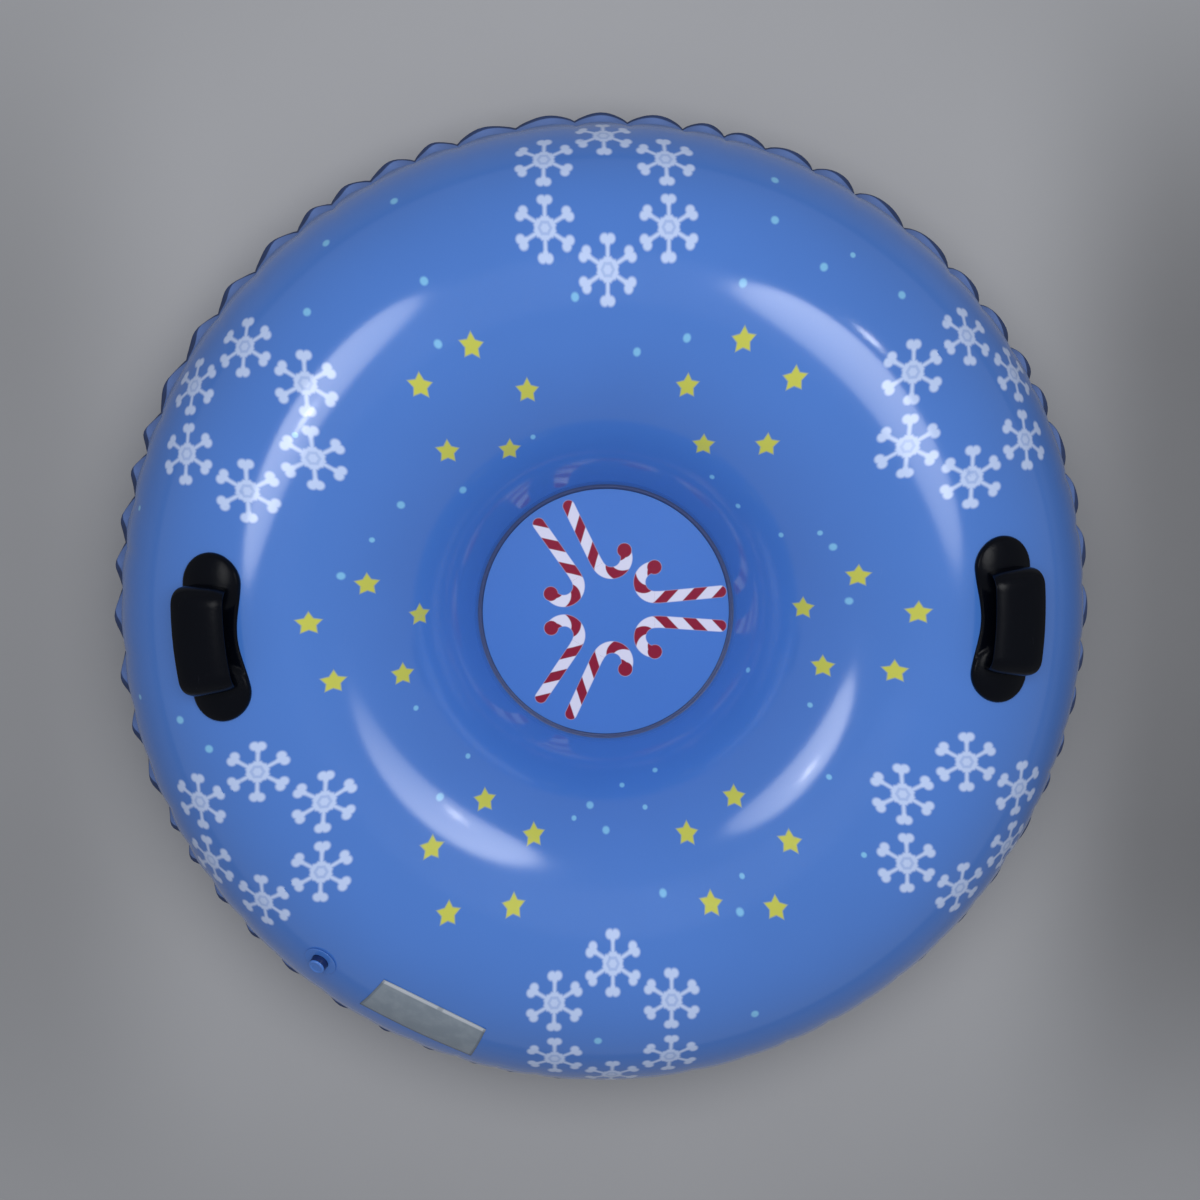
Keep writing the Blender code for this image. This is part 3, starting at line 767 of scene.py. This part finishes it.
def strap(side):
    """A strap: a rounded band along its bent middle line, with thinner edges."""
    set_at = (HANDLE_AZIMUTHS[side], HANDLE_ARC, HANDLE_SKEWS[side])
    turn = np.arange(BAND_STEPS) / BAND_STEPS * tau
    across = np.sign(np.cos(turn)) * np.abs(np.cos(turn)) ** BAND_WIDTH_POWER
    off = np.sign(np.sin(turn)) * np.abs(np.sin(turn)) ** BAND_DEPTH_POWER
    thinned = 1 - BAND_EDGE_THINNING * np.abs(across) ** 4
    rows = []
    for share in np.linspace(-1, 1, STRAP_ROWS):
        x, height, tilt = strap_path(share)
        narrow = smooth_step((GRIP_HEIGHT - height) / GRIP_HEIGHT)
        half_width = (GRIP_WIDTH + (GRIP_FOOT_WIDTH - GRIP_WIDTH) * narrow) / 2
        thin = GRIP_THICKNESS / 2 * thinned * off
        along = x + thin * sin(tilt)
        rows.append(drape(along, half_width * across, height + thin * cos(tilt), *set_at))
    return lofted("strap_" + side, rows, capped=True, merge=1e-6)


straps = {side: strap(side) for side in ("left", "right")}

# %% [markdown]
# ## The label patch
# A thin bare film is welded on the outer slope. It bears no words here. It follows the
# sheet, and its corners lift by a hair, as such patches do.

# %% Label patch
LABEL_ARC = CROWN_ARC + 0.1009
LABEL_AZIMUTH = radians(-115.2)
LABEL_SKEW = radians(-3.5)
LABEL_LENGTH = 0.114
LABEL_WIDTH = 0.055
LABEL_THICKNESS = 0.0004
LABEL_GRID = (25, 49)
CORNER_LIFT = 0.0006

label_b, label_a = np.meshgrid(*(np.linspace(-1, 1, n) for n in LABEL_GRID), indexing="ij")
corner_lift = CORNER_LIFT * np.abs(label_a * label_b) ** 8
label_radius, _, label_lean = section_at(LABEL_ARC)
label_x = label_a * LABEL_LENGTH / 2
bow = label_x**2 / (2 * label_radius * np.cos(label_lean))
label_y = label_b * LABEL_WIDTH / 2 + bow
set_at = (LABEL_AZIMUTH, LABEL_ARC, LABEL_SKEW)
label_points = drape(label_x, label_y, WELD_GAP + corner_lift, *set_at)
label_film = lofted("label_film", label_points, closed_round=False, flip=True)
label_shares = np.stack((label_a, label_b, 0 * label_a), -1)
keep(label_film.data, "label_place", label_shares)
film = label_film.modifiers.new("thickness", "SOLIDIFY")
film.thickness = LABEL_THICKNESS
film.offset = 1

# %% [markdown]
# ## Riding on the solids' bodies
# Every piece rides on the body of the solid it stands for, and hides it.

# %% Ride and replace
PIECES = (
    (upper_sheet, "tube", "top_skin", "printed_sheet"),
    (lower_sheet, "tube", "bottom_skin", "plain_sheet"),
    (floor_sheet, "tube", "floor_disc", "printed_sheet"),
    (pads["left"], "tube", "handle_pad_left", "handle_black"),
    (pads["right"], "tube", "handle_pad_right", "handle_black"),
    (straps["left"], "tube", "handle_grip_left", "handle_black"),
    (straps["right"], "tube", "handle_grip_right", "handle_black"),
    (valve_collar, "tube", "valve_flange", "printed_sheet"),
    (label_film, "tube", "label_patch", "label_grey"),
    (stem_tube, "stem", "valve_stem", "valve_navy"),
    (plug_cap, "plug", "valve_plug", "printed_sheet"),
    (flap_disc, "flap", "valve_flap", "valve_navy"),
)
for piece, body, node, slot in PIECES:
    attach(piece, body)
    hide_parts(node)
print(len(PIECES), "pieces ride")

# %% [markdown]
# ## Materials as sums
# A material here is a sum of masks and noises. The class below wraps one socket, so that
# an expression such as 1 - mask adds its own nodes. Colours are mixed, never added as
# numbers, because a Math node would turn them grey.

# %% One socket, with operators
class Wire:
    """One socket of a material, which sums, products and mixes can be written with."""

    def __init__(self, tree, socket):
        self.tree = tree
        self.socket = socket

    def node(self, kind, settings=None, inputs=None, output=0):
        """Any other node: its settings first, then its sockets' values or links."""
        made = self.tree.nodes.new("ShaderNode" + kind)
        for name, value in (settings or {}).items():
            setattr(made, name, value)
        for name, value in (inputs or {}).items():
            if isinstance(value, Wire):
                self.tree.links.new(value.socket, made.inputs[name])
            else:
                made.inputs[name].default_value = value
        return Wire(self.tree, made.outputs[output])

    def calc(self, operation, *others, first=None):
        """A Math node on this wire; first stands before it where the order counts."""
        values = dict(enumerate((self,) + others if first is None else (first, self)))
        return self.node("Math", {"operation": operation}, values)

    __add__ = __radd__ = partialmethod(calc, "ADD")
    __sub__ = partialmethod(calc, "SUBTRACT")
    __mul__ = __rmul__ = partialmethod(calc, "MULTIPLY")
    __truediv__ = partialmethod(calc, "DIVIDE")
    __pow__ = partialmethod(calc, "POWER")
    size = partialmethod(calc, "ABSOLUTE")
    least = partialmethod(calc, "MINIMUM")
    most = partialmethod(calc, "MAXIMUM")

    def __rsub__(self, other):
        return self.calc("SUBTRACT", first=other)

    def __rtruediv__(self, other):
        return self.calc("DIVIDE", first=other)

    def between(self, start, end):
        """0 below start, 1 above end, smooth between."""
        return self.node(
            "MapRange",
            {"interpolation_type": "SMOOTHSTEP"},
            {"Value": self, "From Min": start, "From Max": end},
        )

    def parts(self):
        """The x, y and z of a vector."""
        return tuple(self.node("SeparateXYZ", {}, {0: self}, k) for k in range(3))

    def stretched(self, shares):
        """This vector, with each of its parts multiplied by a share."""
        return self.node("VectorMath", {"operation": "MULTIPLY"}, {0: self, 1: shares})

    def noise(self, scale, detail=2.0, roughness=0.5):
        """Soft noise from this place, mostly between 0.3 and 0.7."""
        sockets = {"Vector": self, "Scale": scale, "Detail": detail, "Roughness": roughness}
        return self.node("TexNoise", {}, sockets)

    def mixed(self, colour, share):
        """This colour, going over to another by a share from 0 to 1."""
        sockets = {0: share, 6: self, 7: colour}
        return self.node("Mix", {"data_type": "RGBA"}, sockets, 2)

    def shaded(self, factor):
        """This colour, lighter or darker by a factor."""
        sockets = {0: self, "Scale": factor}
        return self.node("VectorMath", {"operation": "SCALE"}, sockets)


def srgb(*levels):
    """A colour as a screen shows it (0 to 255), turned to the light it stands for."""
    shares = [level / 255 for level in levels]
    light = [((c + 0.055) / 1.055) ** 2.4 if c > 0.0405 else c / 12.92 for c in shares]
    return (*light, 1.0)


print("wire class ready")

# %% [markdown]
# ## What all the vinyl shares
# Soft vinyl film is semi-gloss, with a faint orange-peel face a little darker in its lows,
# and fine scuffs where it rubs. Every vinyl below starts from this and adds its own colour.
# The heights are in metres, so each bump has its true depth.

# %% A vinyl material
FILM_BLUE = srgb(67, 117, 198)
SCUFF_COLOUR = srgb(168, 178, 196)
SCRATCH_STRETCH = (1.0, 0.16, 1.0)
SCRATCH_DEPTH = 0.00002
FILM_PEEL = 0.000006
MOULD_PEEL = 0.00002


def bench(name):
    """A new material's tree: its shader, and a wire of the piece's own coordinates."""
    material = bpy.data.materials.new(name)
    material.use_nodes = True
    tree = material.node_tree
    place = Wire(tree, None).node("TexCoord", output="Object")
    return material, tree.nodes["Principled BSDF"], place


def attribute(place, name, output="Vector"):
    return place.node("Attribute", {"attribute_name": name}, output=output)


def finish_vinyl(
    shader, place, colour, rough, height, scuff=0.5, peel=FILM_PEEL, shine=0.9, dull=0.0
):
    """Wire a vinyl's colour, roughness and height to its shader."""
    broad = place.noise(scale=6.0, detail=3.0)
    fine = place.noise(scale=900.0, detail=3.0, roughness=0.6)
    grain = place.noise(scale=260.0)
    scratches = place.stretched(SCRATCH_STRETCH).noise(420.0, 4.0, 0.7).between(0.62, 0.74)
    rubbed = place.noise(9.0, 4.0, 0.6).between(0.48, 0.72)
    scuffed = scratches * rubbed * scuff
    # The fine noise also raises the relief, so the film is a little darker in its lows
    tone = 0.90 + broad * 0.14 + fine * 0.06
    tinted = colour.shaded(tone).mixed(SCUFF_COLOUR, scuffed * 0.16)
    rough = rough + (broad - 0.5) * 0.06 + (fine - 0.5) * 0.04 + scuffed * 0.20 + dull
    relief = grain * peel * 3 + fine * peel - scuffed * SCRATCH_DEPTH + height
    bump = place.node("Bump", {}, {"Strength": 1.0, "Distance": 1.0, "Height": relief})
    for wire, name in ((tinted, "Base Color"), (rough, "Roughness"), (bump, "Normal")):
        place.tree.links.new(wire.socket, shader.inputs[name])
    shader.inputs["Specular IOR Level"].default_value = shine


def plain(place, colour):
    """A wire that carries one colour, for mixing."""
    return place.node("Mix", {"data_type": "RGBA"}, {0: 0.0, 6: colour, 7: colour}, 2)


# %% [markdown]
# ## The printed sheet
# The blue is in the film, and the motifs are printed on it. A snowflake is folded six
# ways about its middle, so one half of one arm draws all of it, and a star five ways.

# %% Ink masks
FLAKE_RADIUS = 0.0335
STAR_RADIUS = 0.0140
STAR_INNER_SHARE = 0.55
DOT_RADIUS = 0.0046
# A snowflake's sizes and places, as shares of its radius
TIP_PLACE = (0.83, 0.095)
TIP_SIZE = 0.145
SHAFT_HALF_WIDTH = 0.058
SHAFT_FLARE = 0.10
SHAFT_END = 0.93
HUB_SIZE = 0.36
NOTCH_PLACE = (0.42, 0.243)
NOTCH_SIZE = 0.155
RING_PLACE = 0.16
RING_HALF_WIDTH = 0.05


def folded(way, radius, ways):
    """Fold a motif: how far out along its nearest arm, and how far off it."""
    x, y, _ = way.parts()
    reach = (x * x + y * y) ** 0.5 / radius
    turn = x.calc("ARCTAN2", y).calc("PINGPONG", pi / ways)
    return reach * turn.calc("COSINE"), reach * turn.calc("SINE"), reach


def gap_to(along, across, place):
    """How far a folded point lies from a place given in the same shares."""
    dx, dy = along - place[0], across - place[1]
    return (dx * dx + dy * dy) ** 0.5


def flake_ink(way):
    along, across, reach = folded(way, FLAKE_RADIUS, 6)
    tip = TIP_SIZE - gap_to(along, across, TIP_PLACE)
    half_width = SHAFT_HALF_WIDTH + along.between(0.58, 0.84) * SHAFT_FLARE
    shaft = (half_width - across).least(SHAFT_END - along)
    hub = (HUB_SIZE - reach).least(gap_to(along, across, NOTCH_PLACE) - NOTCH_SIZE)
    drawn = tip.most(shaft).most(hub).between(-0.06, 0.06)
    ring = (RING_HALF_WIDTH - (along - RING_PLACE).size()).between(-0.03, 0.04)
    return drawn * (1 - ring * 0.30)


def star_ink(way):
    along, across, _ = folded(way, STAR_RADIUS, 5)
    turn = pi / 5
    notch = STAR_INNER_SHARE * Vector((cos(turn), sin(turn)))
    edge = (notch - Vector((1, 0))).normalized()
    inside = (1 - along) * edge.y + across * edge.x
    return inside.between(-0.06, 0.12)


def dot_ink(way):
    _, _, reach = folded(way, DOT_RADIUS, 2)
    return (1 - reach).between(-0.25, 0.45)


# %% Welds, and painted shade at the rim
PAINTED_RIM_SHADE = srgb(32, 52, 96)
PAINTED_LIP_SHADE = srgb(22, 38, 76)
WELD_SHADE = srgb(12, 34, 84)
RIB_TURN = 2600
RIB_HEIGHT = 0.00003


def rim_masks(place, arc):
    """Masks: painted shade in a band inside the rim, the flat lip, and painted shade on the
    lip's edge, wider at the folds' lower ends.
    """
    _, wave, sideways = attribute(place, "gather").parts()
    lip = (arc - SHEET_ARC) / RIM_LIP_WIDTH
    # Painted shade on the lip's outer edge: its width shifts with each fold's phase and from
    # one side of the tube to the other
    start = 0.64 - wave * sideways * 0.30 + place.noise(30.0) * 0.10
    # Painted shade: a band that darkens the body's outer six centimetres or so, most just
    # inside the lip
    near = lip.between(-6.0, -1.5) + lip.between(-2.2, -0.6)
    return near * 0.5, lip.between(-0.30, 0.25), lip.between(start, start + 0.10)


def welded(film, place, arc, lip_colour, lip_share, lip_shade_share):
    """A sheet's film with its lip, its dark welds and painted shade inside the rim and on the
    lip's edge; also the band's mask and the lip's ribs.
    """
    rim_shade_and_dull, rim_weld, lip_shade_mask = rim_masks(place, arc)
    # Painted shade in the band inside the rim; the same band also dulls the gloss
    film = film.mixed(PAINTED_RIM_SHADE, rim_shade_and_dull * 0.55)
    film = film.mixed(lip_colour, rim_weld * lip_share)
    # Painted shade on the lip's outer edge
    film = film.mixed(PAINTED_LIP_SHADE, lip_shade_mask * lip_shade_share)
    film = film.mixed(WELD_SHADE, (1 - arc.between(-0.0008, 0.0012)) * 0.92)
    return film, rim_shade_and_dull, (arc * RIB_TURN).calc("SINE") * RIB_HEIGHT * rim_weld


# %% The printed sheet's material
printed_vinyl, shader, place = bench("printed_vinyl")
flake = flake_ink(attribute(place, "snowflake"))
star = star_ink(attribute(place, "star"))
dot = dot_ink(attribute(place, "dot"))
arc = attribute(place, "arc", "Fac")
ring_dull = 1 - arc.between(0.0, 0.012)
worn = 1 - place.noise(60.0, 4.0, 0.65).between(0.60, 0.78) * 0.25
film = plain(place, FILM_BLUE)
film = film.mixed(srgb(190, 208, 244), flake * worn * 0.94)
film = film.mixed(srgb(196, 198, 62), star * worn * 0.95)
film = film.mixed(srgb(128, 194, 234), dot * worn * 0.85)
film, rim_shade_and_dull, ribs = welded(film, place, arc, srgb(100, 124, 178), 0.75, 0.86)
finish_vinyl(shader, place, film, 0.13, ribs, dull=rim_shade_and_dull * 0.80 + ring_dull * 0.3)
upper_sheet.data.materials.clear()
upper_sheet.data.materials.append(printed_vinyl)
print("printed sheet", len(printed_vinyl.node_tree.nodes), "nodes")

# %% [markdown]
# ## The plain sheet underneath
# The lower sheet has no print. It slides on snow, so it is more scuffed, in rings round
# the part that it stands on.

# %% The plain sheet's material
plain_vinyl, shader, place = bench("plain_vinyl")
arc = attribute(place, "arc", "Fac")
worn_band = 1 - ((arc - CROWN_ARC) / 0.09).size().between(0.1, 1.0)
patchy = place.noise(34.0, 5.0, 0.7).between(0.45, 0.7)
# The plain film's blue is the printed film's blue made a little darker, as painted shade for
# the underside
film = plain(place, srgb(56, 98, 180))
film = film.mixed(srgb(104, 128, 178), worn_band * patchy * 0.5)
film, rim_shade_and_dull, ribs = welded(film, place, arc, srgb(56, 88, 136), 0.55, 0.92)
finish_vinyl(shader, place, film, 0.24, ribs, scuff=1.0, dull=rim_shade_and_dull * 0.70)
lower_sheet.data.materials.append(plain_vinyl)
print("plain sheet", len(plain_vinyl.node_tree.nodes), "nodes")

# %% [markdown]
# ## The floor's print
# Six striped canes lie on the floor in three mirrored pairs. Folding the floor three
# ways lets one cane draw all six. A cane is a band round a path: a hook that is half a
# circle, then a straight stem. The stripes run by the distance along that path. Only
# the upper face is printed, so the height keeps the ink off the lower one.

# %% Cane masks, in millimetres
CANE_TURN = radians(0.5)
CANE_HALF_WIDTH = 6.1
HOOK_MIDDLE = (44.5, 27.6)
HOOK_RADIUS = 15.0
STEM_END = 110.5
STEM_START_ACROSS = 12.5
STEM_SLOPE = 0.080
STEM_BEND = 50
TIP_RADIUS = 7.4
END_ACROSS = 17.3
STRIPE_PITCH = 29.2
RED_SHARE = 0.47


def cane_masks(way):
    """Where the canes are, and where they are red."""
    x, y, _ = way.parts()
    reach = (x * x + y * y) ** 0.5
    turn = (y.calc("ARCTAN2", x) - CANE_TURN).calc("PINGPONG", pi / 3)
    along, across = reach * turn.calc("COSINE"), reach * turn.calc("SINE")
    from_hook = gap_to(along, across, HOOK_MIDDLE)
    middle_along, middle_across = HOOK_MIDDLE
    stem_line = STEM_START_ACROSS + (along - STEM_BEND).most(0) * STEM_SLOPE
    on_hook = (middle_along - along).between(-0.2, 0.2)
    hook_depth = CANE_HALF_WIDTH - (from_hook - HOOK_RADIUS).size()
    stem_depth = (CANE_HALF_WIDTH - (across - stem_line).size()).least(STEM_END - along)
    depth = hook_depth * on_hook + stem_depth * (1 - on_hook)
    tip = TIP_RADIUS - gap_to(along, across, (middle_along, middle_across + HOOK_RADIUS))
    end = CANE_HALF_WIDTH - gap_to(along, across, (STEM_END, END_ACROSS))
    cane = depth.most(tip).most(end).between(-0.5, 0.9)
    round_hook = (middle_along - along).calc("ARCTAN2", across - middle_across)
    hook_run = round_hook.most(0) * HOOK_RADIUS
    stem_run = along + (pi * HOOK_RADIUS - middle_along)
    run = hook_run * on_hook + stem_run * (1 - on_hook)
    slant = (HOOK_RADIUS - from_hook) * on_hook + (across - stem_line) * (1 - on_hook)
    fold = (run - slant).calc("PINGPONG", STRIPE_PITCH / 2)
    red = (STRIPE_PITCH * RED_SHARE / 2 - fold).between(-0.7, 0.9).most(tip.between(-0.4, 0.6))
    return cane, red


# %% The floor's material
floor_vinyl, shader, place = bench("floor_vinyl")
way = attribute(place, "cane_place")
cane, red = cane_masks(way)
x, y, z = place.parts()
reach = (x * x + y * y) ** 0.5
seam = reach.between(RING_RADIUS - 0.0055, RING_RADIUS - 0.0042)
cane = cane * z.between(WELD_HEIGHT - 0.0001, WELD_HEIGHT + 0.0001)
film = plain(place, FILM_BLUE)
film = film.mixed(srgb(214, 214, 234), cane)
film = film.mixed(srgb(134, 14, 50), cane * red)
film = film.mixed(WELD_SHADE, seam * 0.8)
pull = place.noise(5.0) * 0.0008
finish_vinyl(shader, place, film, 0.20, pull, shine=0.45)
floor_sheet.data.materials.append(floor_vinyl)
print("floor", len(floor_vinyl.node_tree.nodes), "nodes")

# %% [markdown]
# ## Moulded pieces
# The handles are near-black soft vinyl with a low sheen. The valve is navy with a blue
# cap, and the label is bare grey film.

# %% Black, navy, blue and grey
FLOW_DEPTH = 0.0002


def moulded(name, colour, rough, peel=MOULD_PEEL, scuff=0.6, shine=0.5):
    """A moulded vinyl: speckled, with the faint flow marks of its mould."""
    material, shader, place = bench(name)
    speck = place.noise(1500.0, 2.0, 0.7)
    shade = plain(place, colour).mixed(srgb(0, 0, 0), speck.between(0.55, 0.75) * 0.25)
    flow = place.noise(40.0, 3.0) * FLOW_DEPTH
    finish_vinyl(shader, place, shade, rough, flow, scuff=scuff, peel=peel, shine=shine)
    return material


black_vinyl = moulded("black_vinyl", srgb(3, 5, 12), 0.26, peel=0.00003, scuff=0.2, shine=0.13)
navy_vinyl = moulded("navy_vinyl", srgb(18, 36, 84), 0.30)
cap_vinyl = moulded("cap_vinyl", FILM_BLUE, 0.15, peel=FILM_PEEL, shine=0.9)
for piece in (*pads.values(), *straps.values()):
    piece.data.materials.append(black_vinyl)
for piece in (stem_tube, flap_disc):
    piece.data.materials.append(navy_vinyl)
for piece in (plug_cap, valve_collar):
    piece.data.materials.append(cap_vinyl)

label_finish, shader, place = bench("label_finish")
label_x, label_y, _ = attribute(place, "label_place").parts()
# Painted highlight: a pale band along the label's uphill edge
painted_edge_highlight = 1 - label_y.between(-0.86, -0.80)
border = label_x.size().most(label_y.size()).between(0.955, 0.965)
cloudy = place.noise(55.0, 4.0, 0.6)
film = plain(place, srgb(122, 134, 146))
film = film.mixed(srgb(146, 156, 166), cloudy.between(0.4, 0.7) * 0.5)
# A gap in the painted highlight
highlight_gap = 1 - (label_x + 0.12).size().between(0.03, 0.07)
film = film.mixed(srgb(190, 196, 204), painted_edge_highlight * (1 - highlight_gap * 0.6) * 0.9)
film = film.mixed(srgb(84, 98, 118), border * 0.5)
finish_vinyl(shader, place, film, 0.40, cloudy * 0.0003, scuff=0.8)
label_film.data.materials.append(label_finish)
print("moulded finishes", len(bpy.data.materials), "materials in all")

# %% [markdown]
# ## Floor and light
# The bright arcs on the crown are reflections of two lamps. Their edges, followed back
# off the sheet, lie on two tilted ovals about 1 m up, one on each side, and two small
# bulbs behind them make the short streaks. All four only shine in reflections: as wide
# lamps they would have lit the tube from the sides, and the photograph shows soft light
# from above. So one panel overhead and a dim world give that, and cast the shadow.

# %% Stage floor
STAGE_REACH = 9
STAGE_GAP = 0.0005
stage_finish, shader, place = bench("stage_finish")
mottle = place.noise(3.0, 4.0, 0.6)
x, y, _ = place.parts()
off_side = x.size()
# Painted shade: darker patches on the floor left and right of the tube, deeper on the +X side
sides = off_side.between(0.40, 0.62) * (1 - off_side.between(0.8, 2.2))
sides = sides * (1 - y.size().between(0.25, 0.75))
reach_squared = x * x + y * y
# Painted shade: a darker ring round the tube from about 0.55 m out, fading away between 1 and
# 1.7 m
edge = reach_squared.between(0.30, 0.72) - reach_squared.between(1.0, 3.0)
tone = 1.06 - sides * (0.40 + x * 0.19) - edge * 0.10
# Painted light: the floor a little lighter towards +Y; the mottle is random
tone = tone + y.most(-0.7).least(0.7) * 0.06 + mottle * 0.06
stage_colour = plain(place, srgb(160, 161, 164)).shaded(tone)
stage_finish.node_tree.links.new(stage_colour.socket, shader.inputs["Base Color"])
shader.inputs["Roughness"].default_value = 0.9
signs = ((-1, -1), (1, -1), (1, 1), (-1, 1))
corners = [(STAGE_REACH * i, STAGE_REACH * j, 0) for i, j in signs]
stage_mesh = bpy.data.meshes.new("stage_floor")
stage_mesh.from_pydata(corners, [], [(0, 1, 2, 3)])
stage_mesh.materials.append(stage_finish)
stage_floor = in_scene("stage_floor", stage_mesh)
stage_floor.location.z = -STAGE_GAP

# %% Lamps
def panel(name, middle, size, power, facing, side=(1, 0, 0)):
    """An oval area lamp that faces a way, with its first side along another."""
    data = bpy.data.lights.new(name, "AREA")
    data.shape = "ELLIPSE"
    data.size, data.size_y = size
    data.energy = power
    lamp = in_scene(name, data)
    back = -Vector(facing).normalized()
    up = back.cross(Vector(side)).normalized()
    axes = Matrix((up.cross(back), up, back)).transposed()
    lamp.matrix_world = Matrix.Translation(middle) @ axes.to_4x4()
    lamp.visible_camera = False
    return lamp


SOFTBOX_SPREAD = radians(90)
LEFT_WAY = (0.556, -0.135, -0.820)
RIGHT_WAY = (-0.155, -0.470, -0.869)
BULB_WAY = (-0.500, -0.450, -0.800)
LEFT_SIDE = (0.775, -0.273, 0.570)
RIGHT_SIDE = (0.876, 0.341, -0.340)
# Each lamp's name, middle, size, power, the way it faces, and its first side
SHINES = (
    ("softbox_left", (-0.455, 0.275, 0.982), (0.31, 0.60), 0.48, LEFT_WAY, LEFT_SIDE),
    ("softbox_right", (0.404, 0.230, 1.015), (0.37, 0.60), 0.70, RIGHT_WAY, RIGHT_SIDE),
    ("bulb_left", (-0.500, 0.260, 1.090), (0.05, 0.05), 0.024, LEFT_WAY),
    ("bulb_right", (0.769, 0.645, 1.392), (0.07, 0.07), 0.047, BULB_WAY),
)
for shine in SHINES:
    lamp = panel(*shine)
    lamp.data.spread = SOFTBOX_SPREAD
    lamp.visible_diffuse = False
ceiling = panel("ceiling_panel", (0.0, 0.35, 2.15), (1.5, 1.1), 27.0, (0, -0.16, -1))
ceiling.visible_glossy = False

# %% World
SKY_COLOUR = (0.93, 0.95, 1.0, 1.0)
SEEN_GLOW = 0.36
world = bpy.data.worlds.new("studio")
bpy.context.scene.world = world
world.use_nodes = True
background = world.node_tree.nodes["Background"]
background.inputs["Color"].default_value = SKY_COLOUR
start = Wire(world.node_tree, None)
rise = start.node("TexCoord", output="Generated").parts()[2]
camera_ray, glossy_ray, clear_ray = [
    start.node("LightPath", output=f"Is {kind} Ray")
    for kind in ("Camera", "Glossy", "Transmission")
]
seen = camera_ray + glossy_ray + clear_ray
lighting = rise.between(-0.05, 0.80) * 0.33 + 0.13
glow = lighting * (1 - seen) + seen * SEEN_GLOW
world.node_tree.links.new(glow.socket, background.inputs["Strength"])
bpy.context.scene.view_settings.view_transform = "Standard"
print("lit")
